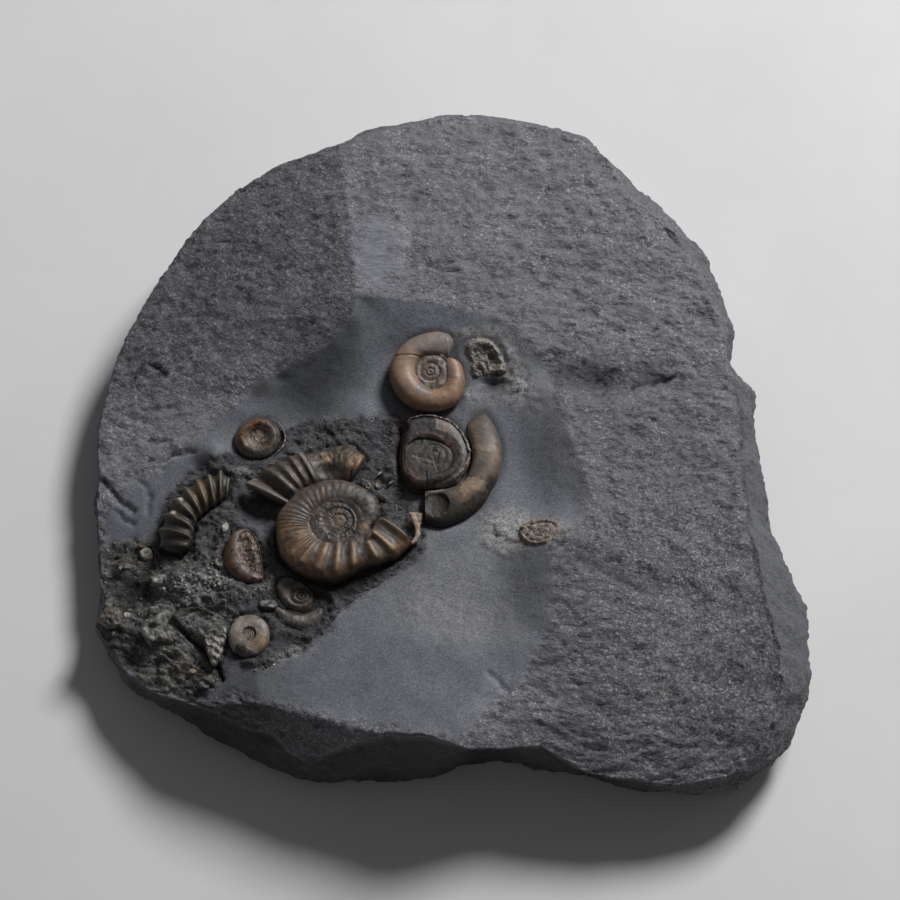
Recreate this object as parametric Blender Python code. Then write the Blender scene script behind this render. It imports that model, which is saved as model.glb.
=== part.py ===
"""Ammonite cluster plate.

A block of grey limestone with a prepared hollow in its face. Small ammonites, whole and broken, lie in the
hollow. Every fossil is a solid of its own, seated in a pocket of the stone.

Lengths below are millimetres and directions degrees. X runs to the right, Y to the back and Z up. The stone
rests on its flat underside at height 0.
"""

import math

import bmesh
import bpy
import numpy as np
from mathutils import Vector, noise

MM = 0.001
GAP = 0.3

# The stone: edge of its upper face, widest line of its side, and edge of its flat underside
FACE_EDGE = [
    (-1, 75.5), (9.5, 75), (20, 73), (30.5, 69), (36.5, 63.5), (40, 55.5), (50.5, 45.5), (57.5, 33),
    (62, 21), (63, 8), (65, -4), (65, -17), (66.5, -25), (68.5, -34.5), (70, -42), (72.5, -50), (74, -58),
    (72, -66), (68, -73), (61, -78), (51, -80), (43, -79.5), (37, -79), (30.5, -78), (25, -75.5),
    (20.5, -73), (13.5, -74), (3, -75), (-5.5, -72), (-13, -70.5), (-18.5, -71), (-23.5, -72),
    (-31.5, -73.5), (-36, -71.5), (-39.5, -68), (-52.5, -63), (-64.5, -58), (-72.5, -52.5), (-76, -46.5),
    (-79.5, -41), (-77.5, -35), (-79, -29), (-79.5, -22), (-79.5, -9), (-80.5, 2.5), (-79, 13),
    (-76.5, 22), (-72, 32), (-65, 43), (-57, 53.5), (-49, 60.5), (-40.5, 64), (-32.5, 66.5),
    (-24.5, 68.5), (-17.5, 71), (-7, 73.5),
]
GIRTH = [
    (-1, 79.5, 21), (20, 77, 22), (31, 72.5, 24), (37.5, 65, 28), (43, 58.5, 26), (51.5, 51, 26),
    (57.5, 43, 25), (62, 33.5, 25), (63.5, 24.5, 25), (63.5, 17.5, 26), (69, 11, 22), (68.5, 5.5, 22),
    (70, -1, 20), (71.5, -9.5, 19), (72, -21.5, 18), (76, -28, 15), (80, -37, 13), (81, -48, 12),
    (80.5, -58, 12), (77, -66.5, 12), (72.5, -73, 12), (64.5, -79, 12), (53, -79, 10), (41, -77.5, 10),
    (30.5, -73.5, 8), (17.5, -73, 7), (8, -73.5, 7), (-1, -74, 7), (-12, -76, 7), (-22.5, -77, 7),
    (-30.5, -76, 7), (-43, -70, 8), (-56, -62.5, 8), (-69, -55.5, 7.5), (-75.5, -48, 7), (-80, -40.5, 8),
    (-79, -29, 8), (-80, -14, 8), (-80.5, 2, 8), (-77.5, 19, 8), (-72.5, 33, 9), (-65.5, 44.5, 10),
    (-57, 55, 12), (-42, 66.5, 14), (-25, 73, 17),
]
UNDERSIDE = [
    (0, 70), (22, 67), (36, 59), (49, 45), (55, 27), (60, 6), (62, -20), (69, -40), (70, -56), (62, -69),
    (45, -70), (20, -67), (0, -67.5), (-22, -70), (-42, -63), (-56, -56), (-67, -48), (-73, -35),
    (-73, -10), (-71, 14), (-61, 36), (-44, 54), (-22, 65),
]
CROWN = 37.6
RIDGE_X = -21.0
RIDGE_START_Y = 29.6
RIDGE_LEAN = -0.095
LEFT_SLOPE = 0.42

# The face falls away from its crown: where each fall starts, the distance to its end, and its depth there
BACK_FALL = (30.0, 42.0, 4.5)
FRONT_FALL = (25.0, 55.0, 17.0)
RIGHT_FALL = (0.0, 65.0, 4.2)
FRONT_FALL_START_X = -30.0
FRONT_FALL_WIDTH = 60.0

# The prepared hollow, the chip at the front edge, and the dents of the broken face
HOLLOW = [
    (-47, 8), (-45, 12), (-34, 16), (-27, 19.5), (-22.5, 25), (-21, 29.6), (-11, 29), (-2, 27.3), (7, 25.4),
    (13.5, 22.7), (19, 17.4), (22, 12), (24, 5), (26, -1), (29, -9), (31.5, -18), (30.4, -24), (26, -26),
    (22.5, -30), (23.2, -41), (22, -51), (17, -59), (8, -67), (-3, -80), (-45, -84), (-90, -60),
    (-90, -20), (-60, 0),
]
HOLLOW_BAND = 14.0
FLOOR_HEIGHT = 29.2
FLOOR_SLOPE = 0.1
FLOOR_RISE = 0.14
FLOOR_RISE_FROM = -8.0
FLOOR_RISE_BEND = 6.0
FLOOR_LEFT_END = -40.0
FLOOR_LEFT_BAND = 22.0
CHIP_POINT = (-32.0, -65.0, 27.3)
CHIP_SLOPES = (0.49, 1.29)
CHIP_BASE = 15.5
TROUGHS = [
    ((22, 12), (33, 9.5), 3.6, 1.7),
    ((33, 9.5), (50, 10.5), 3.0, 1.2),
    ((24, -29), (37, -34), 2.0, 0.9),
    ((37, -34), (56, -42), 2.2, 0.7),
]
WALL_SCOOPS = [(9.0, 9.0, 5.0), (-18.0, 9.0, 2.5)]
FRONT_LIMIT = -55.0

# Lumps of the rubble at the lower left, the grainy bank round the fossils, and the nugget on the left edge
LUMPS = [
    (-56, -34, 5.5, 1.6), (-49, -37, 3.6, 1.8), (-63, -31, 3.4, 1.6), (-60, -44, 3.8, 2.8),
    (-54, -46, 3.0, 2.4), (-66, -42, 3.0, 2.2), (-62, -51, 4.2, 1.8), (-70, -44, 3.2, 1.6),
    (-54, -3, 3.0, 2.0), (-76, -41, 3.6, 3.4),
    (-13, -9, 3.2, 2.2), (-19, 3, 5.0, 1.0), (-27, 5, 5.0, 0.8), (-43, -14, 4.2, -2.6), (12.5, -24, 3.5, 0.8),
]

# Fine unevenness of the stone: length and depth of each grain
SWELL = (24.0, 0.7)
CHOP = (7.0, 0.35)
SIDE_CHOP = (11.0, 1.1)

FACE_CELLS = 110
SIDE_ROWS = 9
STONE_TRIANGLES = 3900

# Fossils that show as whole coils. The outline and the seam of the last whorl are radii by direction.
CUTTER_RISE = 26.0
COILS = [
    {
        "name": "ammonite_main_coil", "middle": (-25.4, -22.5, 29.2), "lean": (0.05, 0.0), "height": 3.9,
        "seat": 4.6,
        "outer": {10: 10.1, 90: 10.1, 135: 10.9, 180: 13.5, 225: 13.9, 270: 14.1, 302: 14.0, 323: 15.7,
                  338: 17.6, 346: 18.4, 351: 15.8, 357: 12.6},
        "seam": {0: 5.9, 90: 4.9, 180: 5.9, 270: 4.9}, "ribs": 24, "rib_depth": 0.45, "columns": 48,
        "colour": (0.23, 0.15, 0.09), "roughness": 0.42,
    },
    {
        "name": "ammonite_smooth", "middle": (-3.4, 11.6, 33.5), "lean": (0.03, 0.1), "height": 3.2,
        "seat": 4.4,
        "outer": {0: 6.5, 48: 6.5, 64: 9.8, 100: 9.9, 135: 10.3, 180: 10.4, 225: 9.3, 270: 8.1, 315: 7.2},
        "seam": {0: 2.6, 90: 4.8, 180: 5.0, 270: 3.1}, "ribs": 0, "rib_depth": 0.0, "columns": 28,
        "colour": (0.30, 0.17, 0.09), "roughness": 0.3,
    },
    {
        "name": "ammonite_right_coil", "middle": (-3.8, -6.9, 30.5), "lean": (0.04, 0.0), "height": 2.7,
        "seat": 4.0,
        "outer": {0: 8.3, 45: 9.4, 90: 9.8, 135: 9.6, 180: 7.4, 225: 7.7, 270: 7.2, 315: 7.0},
        "seam": {0: 4.8, 90: 5.0, 180: 5.2, 270: 4.4}, "ribs": 0, "rib_depth": 0.0, "columns": 26,
        "colour": (0.16, 0.11, 0.08), "roughness": 0.45,
    },
    {
        "name": "ammonite_small", "middle": (-43.4, -1.2, 26.3), "lean": (0.1, 0.1), "height": 1.9,
        "seat": 3.6,
        "outer": {0: 5.4, 90: 5.3, 180: 5.0, 270: 4.3}, "seam": {0: 2.4, 180: 2.4},
        "ribs": 0, "rib_depth": 0.0, "columns": 18, "colour": (0.30, 0.17, 0.10), "roughness": 0.5,
    },
    {
        "name": "ammonite_half", "middle": (-46.6, -28.2, 24.4), "lean": (0.15, 0.0), "height": 2.3,
        "seat": 3.2,
        "outer": {0: 4.5, 45: 4.4, 70: 6.2, 90: 6.5, 120: 6.0, 150: 4.8, 180: 4.5, 210: 5.1, 240: 5.6,
                  270: 6.1, 307: 7.4},
        "seam": {0: 1.6, 90: 2.2, 180: 1.6, 270: 2.2}, "ribs": 0, "rib_depth": 0.0, "columns": 20,
        "colour": (0.24, 0.13, 0.09), "roughness": 0.45,
    },
    {
        "name": "ammonite_shaded", "middle": (-33.5, -38.0, 25.4), "lean": (0.05, 0.0), "height": 2.4,
        "seat": 3.0,
        "outer": {0: 5.4, 90: 4.6, 120: 5.2, 180: 5.6, 222: 9.0, 265: 8.9, 320: 8.0, 335: 6.4},
        "seam": {0: 3.2, 90: 2.6, 180: 3.2, 222: 4.4, 270: 3.6, 320: 4.2}, "ribs": 0, "rib_depth": 0.0,
        "columns": 22, "colour": (0.14, 0.11, 0.08), "roughness": 0.5,
    },
    {
        "name": "ammonite_pale_disc", "middle": (-44.8, -46.8, 24.6), "lean": (0.1, 0.0), "height": 1.6,
        "seat": 3.0,
        "outer": {0: 4.7, 90: 5.0, 180: 4.7, 270: 5.0}, "seam": {0: 1.9, 180: 1.9},
        "ribs": 0, "rib_depth": 0.0, "columns": 18, "colour": (0.42, 0.36, 0.28), "roughness": 0.5,
    },
    {
        "name": "ammonite_worn", "middle": (20.0, -25.6, 34.1), "lean": (0.40, -0.30), "height": 1.1,
        "seat": 3.0,
        "outer": {0: 4.6, 90: 4.0, 180: 4.8, 270: 4.0}, "seam": {0: 2.0, 180: 2.0},
        "ribs": 0, "rib_depth": 0.0, "columns": 16, "colour": (0.30, 0.25, 0.19), "roughness": 0.6,
    },
]

# Broken arcs of whorl. Each runs from one direction to another round its middle.
ARCS = [
    {
        "name": "ammonite_main_outer_whorl", "middle": (-25.4, -22.5, 28.9), "lean": (0.05, 0.0),
        "height": 3.3, "seat": 4.4, "start": 70, "end": 155,
        "outer": {
            70: 16.5, 83: 17.4, 96: 17.8, 110: 18.1, 119: 18.8, 126: 19.2, 137: 20.2, 149: 22.2, 155: 21.6,
        },
        "inner": {70: 12.0, 80: 11.2, 120: 11.4, 134: 11.4, 155: 12.6},
        "ribs": 7, "rib_depth": 0.45, "colour": (0.20, 0.15, 0.10), "roughness": 0.45,
    },
    {
        "name": "ammonite_right_body_chamber", "middle": (-3.8, -6.9, 30.1), "lean": (0.05, 0.09),
        "height": 3.9, "seat": 4.0, "start": -96, "end": 44,
        "outer": {-96: 13.6, -83: 16.8, -64: 16.5, -46: 16.1, 3: 15.3, 30: 14.9, 44: 14.1},
        "inner": {-96: 7.9, -45: 7.7, 0: 8.8, 44: 9.9},
        "ribs": 6, "rib_depth": 0.0, "colour": (0.26, 0.18, 0.12), "roughness": 0.35,
    },
    {
        "name": "ammonite_ribbed_arc", "middle": (-52.2, -22.4, 22.2), "lean": (0.26, 0.05),
        "height": 3.4, "seat": 3.6, "start": 80, "end": 197,
        "outer": {80: 13.9, 100: 14.3, 130: 14.0, 160: 13.4, 197: 13.0},
        "inner": {80: 9.3, 100: 7.2, 130: 6.4, 160: 6.1, 197: 6.8},
        "ribs": 9, "rib_depth": 0.5, "colour": (0.15, 0.12, 0.07), "roughness": 0.45,
    },
    {
        "name": "ammonite_crusty_whorl", "middle": (6.0, 12.9, 34.4), "lean": (0.12, 0.15),
        "height": 1.6, "seat": 3.0, "start": -35, "end": 112,
        "outer": {-35: 6.6, 0: 6.3, 45: 6.6, 112: 6.4}, "inner": {-35: 3.0, 45: 2.4, 112: 3.0},
        "ribs": 5, "rib_depth": 0.2, "colour": (0.28, 0.24, 0.20), "roughness": 0.7,
    },
]
ARC_ROWS = 5
CUTS_OTHERS = {
    "ammonite_main_coil": ["ammonite_shaded"],
}


def by_direction(outline):
    """Turns an outline of places into tables of direction, radius and height."""
    places = sorted(outline, key=lambda p: math.atan2(p[1], p[0]))
    direction = np.array([math.atan2(p[1], p[0]) for p in places])
    radius = np.array([math.hypot(p[0], p[1]) for p in places])
    height = np.array([p[2] if len(p) > 2 else 0.0 for p in places])
    return direction, radius, height


def look_up(table, direction):
    """Radius and height of an outline in one direction."""
    radius = np.interp(direction, table[0], table[1], period=2 * math.pi)
    height = np.interp(direction, table[0], table[2], period=2 * math.pi)
    return float(radius), float(height)


def radius_at(radii, degrees):
    """A radius from a table of radii by direction."""
    return float(np.interp(degrees, list(radii), list(radii.values()), period=360))


def smooth_step(t):
    t = min(max(t, 0.0), 1.0)
    return t * t * (3 - 2 * t)


def distance_to_line(x, y, start, end):
    """Distance of a place from a straight line between two places."""
    along = Vector(end) - Vector(start)
    offset = Vector((x, y)) - Vector(start)
    t = min(max(offset.dot(along) / along.length_squared, 0.0), 1.0)
    return (offset - along * t).length


def depth_inside(x, y, outline):
    """Distance of a place from an outline, or 0 if it lies outside."""
    inside = False
    nearest = 1e9
    for start, end in zip(outline, outline[1:] + outline[:1]):
        if (start[1] > y) != (end[1] > y):
            crossing = start[0] + (y - start[1]) / (end[1] - start[1]) * (end[0] - start[0])
            if x < crossing:
                inside = not inside
        nearest = min(nearest, distance_to_line(x, y, start, end))
    return nearest if inside else 0.0


def roughness(x, y, z, grain):
    """Unevenness of the broken stone for one grain, given as a length and a depth."""
    length, depth = grain
    return depth * noise.fractal(Vector((x, y, z)) / length, 0.9, 2.1, 3)


def fall(distance, start_span_depth):
    """Depth of a fall that starts gently at a distance and steepens."""
    start, span, depth = start_span_depth
    return depth * (max(distance - start, 0.0) / span) ** 2


def floor_height(x, y):
    """Height of the hollow's floor, which climbs to the right and, past its middle, to the back."""
    behind = y - FLOOR_RISE_FROM
    climb = FLOOR_RISE * 0.5 * (behind + math.hypot(behind, FLOOR_RISE_BEND))
    return FLOOR_HEIGHT + FLOOR_SLOPE * x + climb * smooth_step((x - FLOOR_LEFT_END) / FLOOR_LEFT_BAND)


def face_height(x, y):
    """Height of the stone's upper face, with its hollow, chip, dents and lumps."""
    front = fall(-y, FRONT_FALL) * smooth_step((x - FRONT_FALL_START_X) / FRONT_FALL_WIDTH)
    z = CROWN - fall(x, RIGHT_FALL) - fall(y, BACK_FALL) - front
    z += LEFT_SLOPE * min(0.0, x - RIDGE_X - RIDGE_LEAN * (y - RIDGE_START_Y))
    for start, end, width, depth in TROUGHS:
        z -= depth * math.exp(-(distance_to_line(x, y, start, end) / width) ** 2)
    dug = math.sin(math.pi / 2 * min(depth_inside(x, y, HOLLOW) / HOLLOW_BAND, 1.0))
    z -= dug * max(z - floor_height(x, y), 0.0)
    if y < FRONT_LIMIT:
        chip = CHIP_POINT[2] + CHIP_SLOPES[0] * (x - CHIP_POINT[0]) + CHIP_SLOPES[1] * (y - CHIP_POINT[1])
        z = min(z, max(chip, CHIP_BASE))
    for lump_x, lump_y, width, height in LUMPS:
        z += height * math.exp(-((x - lump_x) ** 2 + (y - lump_y) ** 2) / width ** 2)
    return z + roughness(x, y, 0, SWELL) + roughness(x, y, 0, CHOP) * (1 - dug)


def side_place(direction, t, tables):
    """A place on the stone's side: t is 0 at the face's edge, 1 at the widest line, 2 at the underside."""
    edge, girth, under = (look_up(table, direction) for table in tables)
    edge_height = face_height(edge[0] * math.cos(direction), edge[0] * math.sin(direction))
    if t <= 1:
        radius = edge[0] + (girth[0] - edge[0]) * math.sin(t * math.pi / 2)
        z = edge_height + (girth[1] - edge_height) * t
    else:
        turn = (t - 1) * math.pi / 2
        radius = under[0] + (girth[0] - under[0]) * max(math.cos(turn), 0.0) ** 0.7
        z = girth[1] * (1 - math.sin(turn))
    x = radius * math.cos(direction)
    y = radius * math.sin(direction)
    fade = math.sin(math.pi * min(t, 2.0) / 2)
    inward = -fade * roughness(x, y, z, SIDE_CHOP)
    if y < FRONT_LIMIT:
        for middle, width, depth in WALL_SCOOPS:
            inward += depth * fade * math.exp(-((x - middle) / width) ** 2)
    scale = (radius - inward) / radius
    return x * scale, y * scale, z


def add_object(name, bm, collection):
    """Makes an object of a bmesh whose places are in millimetres."""
    bmesh.ops.scale(bm, vec=(MM, MM, MM), verts=bm.verts)
    bmesh.ops.recalc_face_normals(bm, faces=bm.faces)
    mesh = bpy.data.meshes.new(name)
    bm.to_mesh(mesh)
    bm.free()
    made = bpy.data.objects.new(name, mesh)
    collection.objects.link(made)
    return made


def give_material(piece, colour, roughness_value):
    """Gives a piece its own plain material."""
    material = bpy.data.materials.new(piece.name)
    material.use_nodes = True
    shader = material.node_tree.nodes["Principled BSDF"]
    shader.inputs["Base Color"].default_value = (*colour, 1.0)
    shader.inputs["Roughness"].default_value = roughness_value
    shader.inputs["Metallic"].default_value = 0.0
    piece.data.materials.append(material)


def open_edges(bm):
    return [edge for edge in bm.edges if edge.is_boundary]


def drop_row(bm):
    """Extrudes the open edge of a sheet and gives the new corners."""
    made = bmesh.ops.extrude_edge_only(bm, edges=open_edges(bm))["geom"]
    return [item for item in made if isinstance(item, bmesh.types.BMVert)]


def close_flat(bm):
    bmesh.ops.holes_fill(bm, edges=open_edges(bm), sides=0)


def make_stone(collection):
    """The limestone: a grid pressed to the face's outline, its edge drawn down and closed flat."""
    tables = [by_direction(outline) for outline in (FACE_EDGE, GIRTH, UNDERSIDE)]
    bm = bmesh.new()
    bmesh.ops.create_grid(bm, x_segments=FACE_CELLS, y_segments=FACE_CELLS, size=1.0)
    for corner in bm.verts:
        u, v, _ = corner.co
        across = u * math.sqrt(1 - v * v / 2)
        up = v * math.sqrt(1 - u * u / 2)
        direction = math.atan2(up, across)
        radius = math.hypot(across, up) * look_up(tables[0], direction)[0]
        x = radius * math.cos(direction)
        y = radius * math.sin(direction)
        corner.co = x, y, face_height(x, y)
    for row in range(1, SIDE_ROWS + 1):
        for corner in drop_row(bm):
            direction = math.atan2(corner.co.y, corner.co.x)
            corner.co = side_place(direction, 2 * row / SIDE_ROWS, tables)
    close_flat(bm)
    bmesh.ops.triangulate(bm, faces=bm.faces)
    triangles = len(bm.faces)
    stone = add_object("limestone_matrix", bm, collection)
    thin = stone.modifiers.new("fewer_faces", "DECIMATE")
    thin.ratio = STONE_TRIANGLES / triangles
    give_material(stone, (0.15, 0.155, 0.17), 0.85)
    return stone


def plane_height(fossil, x, y):
    """Height of the fossil's widest line at a place given from its middle."""
    return fossil["middle"][2] + fossil["lean"][0] * x + fossil["lean"][1] * y


def set_corner(corner, fossil, x, y, rise):
    """Puts a corner at a place given from the fossil's middle and a height above its widest line."""
    corner.co = fossil["middle"][0] + x, fossil["middle"][1] + y, plane_height(fossil, x, y) + rise


def drop_to_seat(bm, fossil):
    """Draws the open edge straight down to the fossil's flat back and closes it."""
    for corner in drop_row(bm):
        x = corner.co.x - fossil["middle"][0]
        y = corner.co.y - fossil["middle"][1]
        set_corner(corner, fossil, x, y, -fossil["seat"])
    close_flat(bm)


def arch(t):
    """Height of a whorl's round back, from 0 at one side to 0 at the other."""
    return math.sqrt(max(1 - (2 * t - 1) ** 2, 0.0))


def rib(fossil, turn):
    """Rise of the ribs: 1 on a crest and -1 between two."""
    return math.cos(fossil["ribs"] * turn) if fossil["ribs"] else 0.0


def coil_rise(fossil, degrees, radius):
    """Height of a coil above its widest line: the last whorl, and the earlier ones inside its seam."""
    outer = radius_at(fossil["outer"], degrees)
    seam = radius_at(fossil["seam"], degrees)
    inner = 0.9 * seam
    last = arch(min(max((radius - inner) / (outer - inner), 0.0), 1.0)) * fossil["height"]
    last += fossil["rib_depth"] * rib(fossil, math.radians(degrees)) * last / fossil["height"]
    before = arch(min(radius / (2.2 * seam) + 0.25, 1.0)) * fossil["height"] * 0.55
    return max(last, before)


def make_coil(fossil, collection):
    """A whole coil: a sheet of rings round its middle, drawn down to a flat back."""
    rings = [0.15, 0.5, 0.9]
    whorl = [0.08, 0.3, 0.6, 0.86, 1.0]
    columns = fossil["columns"]
    bm = bmesh.new()
    bmesh.ops.create_grid(bm, x_segments=columns, y_segments=len(rings) + len(whorl) - 1, size=1.0)
    rows = len(rings) + len(whorl)
    for corner in bm.verts:
        degrees = round((corner.co.x + 1) / 2 * columns) * 360 / columns
        row = round((corner.co.y + 1) / 2 * (rows - 1))
        crest = rib(fossil, math.radians(degrees))
        outer = radius_at(fossil["outer"], degrees) + 0.5 * fossil["rib_depth"] * crest
        seam = radius_at(fossil["seam"], degrees)
        radius = rings[row] * seam if row < len(rings) else seam + (outer - seam) * whorl[row - len(rings)]
        x = radius * math.cos(math.radians(degrees))
        y = radius * math.sin(math.radians(degrees))
        rise = coil_rise(fossil, degrees, radius) if row < rows - 1 else 0.0
        set_corner(corner, fossil, x, y, rise)
    bmesh.ops.remove_doubles(bm, verts=bm.verts, dist=0.001)
    inner_rim = [edge for edge in open_edges(bm) if is_near_middle(edge, fossil)]
    bmesh.ops.holes_fill(bm, edges=inner_rim, sides=0)
    drop_to_seat(bm, fossil)
    return add_object(fossil["name"], bm, collection)


def is_near_middle(edge, fossil):
    """Tells the small ring round the middle from the outer edge."""
    middle = Vector(fossil["middle"][:2])
    return (edge.verts[0].co.xy - middle).length < min(fossil["seam"].values())


def make_arc(fossil, collection):
    """A broken arc of whorl: a sheet bent round its middle, drawn down to a flat back."""
    columns = 2 * fossil["ribs"]
    bm = bmesh.new()
    bmesh.ops.create_grid(bm, x_segments=columns, y_segments=ARC_ROWS, size=1.0)
    for corner in bm.verts:
        along = (corner.co.x + 1) / 2
        across = (corner.co.y + 1) / 2
        degrees = fossil["start"] + (fossil["end"] - fossil["start"]) * along
        crest = math.cos(math.pi * round(along * columns)) * fossil["rib_depth"]
        outer = radius_at(fossil["outer"], degrees) + 0.4 * crest
        inner = radius_at(fossil["inner"], degrees)
        radius = inner + (outer - inner) * across
        x = radius * math.cos(math.radians(degrees))
        y = radius * math.sin(math.radians(degrees))
        set_corner(corner, fossil, x, y, (fossil["height"] + crest) * arch(across))
    drop_to_seat(bm, fossil)
    return add_object(fossil["name"], bm, collection)


def raise_cutter(bm, fossil, name, collection):
    """Draws a flat outline up into a cutter and hides it."""
    made = bmesh.ops.extrude_face_region(bm, geom=bm.faces[:])["geom"]
    top = [item for item in made if isinstance(item, bmesh.types.BMVert)]
    bmesh.ops.translate(bm, vec=(0, 0, CUTTER_RISE), verts=top)
    cutter = add_object(name, bm, collection)
    cutter.hide_render = True
    cutter.display_type = "WIRE"
    return cutter


def coil_cutter(fossil, collection):
    """The pocket of a coil: its outline, widened by the gap."""
    columns = fossil["columns"]
    bm = bmesh.new()
    bmesh.ops.create_circle(bm, cap_ends=True, segments=columns, radius=1.0)
    for corner in bm.verts:
        direction = math.atan2(corner.co.y, corner.co.x)
        radius = radius_at(fossil["outer"], math.degrees(direction)) + 0.5 * fossil["rib_depth"] + GAP
        radius /= math.cos(math.pi / columns)
        x = radius * math.cos(direction)
        y = radius * math.sin(direction)
        set_corner(corner, fossil, x, y, -fossil["seat"] - GAP)
    return raise_cutter(bm, fossil, "pocket_" + fossil["name"], collection)


def arc_cutter(fossil, collection):
    """The pocket of an arc: its outline, widened by the gap on every side."""
    columns = 2 * fossil["ribs"]
    bm = bmesh.new()
    bmesh.ops.create_grid(bm, x_segments=columns, y_segments=1, size=1.0)
    step = math.radians(fossil["end"] - fossil["start"]) / columns
    for corner in bm.verts:
        along = corner.co.x
        degrees = (fossil["start"] + fossil["end"]) / 2 + (fossil["end"] - fossil["start"]) / 2 * along
        if corner.co.y > 0:
            radius = radius_at(fossil["outer"], degrees) + 0.4 * fossil["rib_depth"] + GAP
            radius /= math.cos(step / 2)
        else:
            radius = radius_at(fossil["inner"], degrees) - GAP
        if abs(along) > 0.999:
            degrees += math.copysign(math.degrees(GAP / radius), along)
        x = radius * math.cos(math.radians(degrees))
        y = radius * math.sin(math.radians(degrees))
        set_corner(corner, fossil, x, y, -fossil["seat"] - GAP)
    return raise_cutter(bm, fossil, "pocket_" + fossil["name"], collection)


def cut(piece, cutter):
    """Takes a cutter out of a piece."""
    step = piece.modifiers.new(cutter.name, "BOOLEAN")
    step.operation = "DIFFERENCE"
    step.solver = "EXACT"
    step.object = cutter


def main():
    for old in list(bpy.data.objects):
        bpy.data.objects.remove(old, do_unlink=True)
    parts = bpy.data.collections.new("ammonite_cluster_plate")
    cutters = bpy.data.collections.new("cutters")
    for collection in (parts, cutters):
        bpy.context.scene.collection.children.link(collection)
    stone = make_stone(parts)
    fossils = {}
    pockets = {}
    for fossil in COILS:
        fossils[fossil["name"]] = make_coil(fossil, parts)
        pockets[fossil["name"]] = coil_cutter(fossil, cutters)
    for fossil in ARCS:
        fossils[fossil["name"]] = make_arc(fossil, parts)
        pockets[fossil["name"]] = arc_cutter(fossil, cutters)
    for fossil in COILS + ARCS:
        give_material(fossils[fossil["name"]], fossil["colour"], fossil["roughness"])
        cut(stone, pockets[fossil["name"]])
        for other in CUTS_OTHERS.get(fossil["name"], []):
            cut(fossils[other], pockets[fossil["name"]])


main()
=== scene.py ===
"""Looks of the ammonite cluster plate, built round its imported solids.

Lengths are millimetres until a mesh is made. X runs to the right, Y to the back and Z up.
"""

import math

import bmesh
import bpy
import numpy as np
from mathutils import Matrix, Vector, noise
from mathutils.bvhtree import BVHTree


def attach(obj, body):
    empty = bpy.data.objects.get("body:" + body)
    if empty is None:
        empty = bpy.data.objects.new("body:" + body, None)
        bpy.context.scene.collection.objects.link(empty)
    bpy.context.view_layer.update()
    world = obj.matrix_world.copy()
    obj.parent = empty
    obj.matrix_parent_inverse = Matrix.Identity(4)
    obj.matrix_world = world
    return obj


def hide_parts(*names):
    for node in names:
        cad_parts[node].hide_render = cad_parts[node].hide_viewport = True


MM = 0.001
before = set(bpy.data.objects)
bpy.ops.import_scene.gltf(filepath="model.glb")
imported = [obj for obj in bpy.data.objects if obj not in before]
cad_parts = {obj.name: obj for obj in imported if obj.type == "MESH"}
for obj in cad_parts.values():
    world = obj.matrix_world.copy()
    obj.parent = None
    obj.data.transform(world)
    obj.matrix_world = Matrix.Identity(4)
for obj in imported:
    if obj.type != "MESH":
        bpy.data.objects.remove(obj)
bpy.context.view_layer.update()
noise.seed_set(5)

# ---------------------------------------------------------------- the stone's shape, as in its solid
FACE_EDGE = [
    (-1, 75.5), (9.5, 75), (20, 73), (30.5, 69), (36.5, 63.5), (40, 55.5), (50.5, 45.5), (57.5, 33),
    (62, 21), (63, 8), (65, -4), (65, -17), (66.5, -25), (68.5, -34.5), (70, -42), (72.5, -50), (74, -58),
    (72, -66), (68, -73), (61, -78), (51, -80), (43, -79.5), (37, -79), (30.5, -78), (25, -75.5),
    (20.5, -73), (13.5, -74), (3, -75), (-5.5, -72), (-13, -70.5), (-18.5, -71), (-23.5, -72),
    (-31.5, -73.5), (-36, -71.5), (-39.5, -68), (-52.5, -63), (-64.5, -58), (-72.5, -52.5), (-76, -46.5),
    (-79.5, -41), (-77.5, -35), (-79, -29), (-79.5, -22), (-79.5, -9), (-80.5, 2.5), (-79, 13),
    (-76.5, 22), (-72, 32), (-65, 43), (-57, 53.5), (-49, 60.5), (-40.5, 64), (-32.5, 66.5),
    (-24.5, 68.5), (-17.5, 71), (-7, 73.5),
]
GIRTH = [
    (-1, 79.5, 21), (20, 77, 22), (31, 72.5, 24), (37.5, 65, 28), (43, 58.5, 26), (51.5, 51, 26),
    (57.5, 43, 25), (62, 33.5, 25), (63.5, 24.5, 25), (63.5, 17.5, 26), (69, 11, 22), (68.5, 5.5, 22),
    (70, -1, 20), (71.5, -9.5, 19), (72, -21.5, 18), (76, -28, 15), (80, -37, 13), (81, -48, 12),
    (80.5, -58, 12), (77, -66.5, 12), (72.5, -73, 12), (64.5, -79, 12), (53, -79, 10), (41, -77.5, 10),
    (30.5, -73.5, 8), (17.5, -73, 7), (8, -73.5, 7), (-1, -74, 7), (-12, -76, 7), (-22.5, -77, 7),
    (-30.5, -76, 7), (-43, -70, 8), (-56, -62.5, 8), (-69, -55.5, 7.5), (-75.5, -48, 7), (-80, -40.5, 8),
    (-79, -29, 8), (-80, -14, 8), (-80.5, 2, 8), (-77.5, 19, 8), (-72.5, 33, 9), (-65.5, 44.5, 10),
    (-57, 55, 12), (-42, 66.5, 14), (-25, 73, 17),
]
UNDERSIDE = [
    (0, 70), (22, 67), (36, 59), (49, 45), (55, 27), (60, 6), (62, -20), (69, -40), (70, -56), (62, -69),
    (45, -70), (20, -67), (0, -67.5), (-22, -70), (-42, -63), (-56, -56), (-67, -48), (-73, -35),
    (-73, -10), (-71, 14), (-61, 36), (-44, 54), (-22, 65),
]
CROWN = 37.6
RIDGE_X = -21.0
RIDGE_START_Y = 29.6
RIDGE_LEAN = -0.095
LEFT_SLOPE = 0.42
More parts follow.
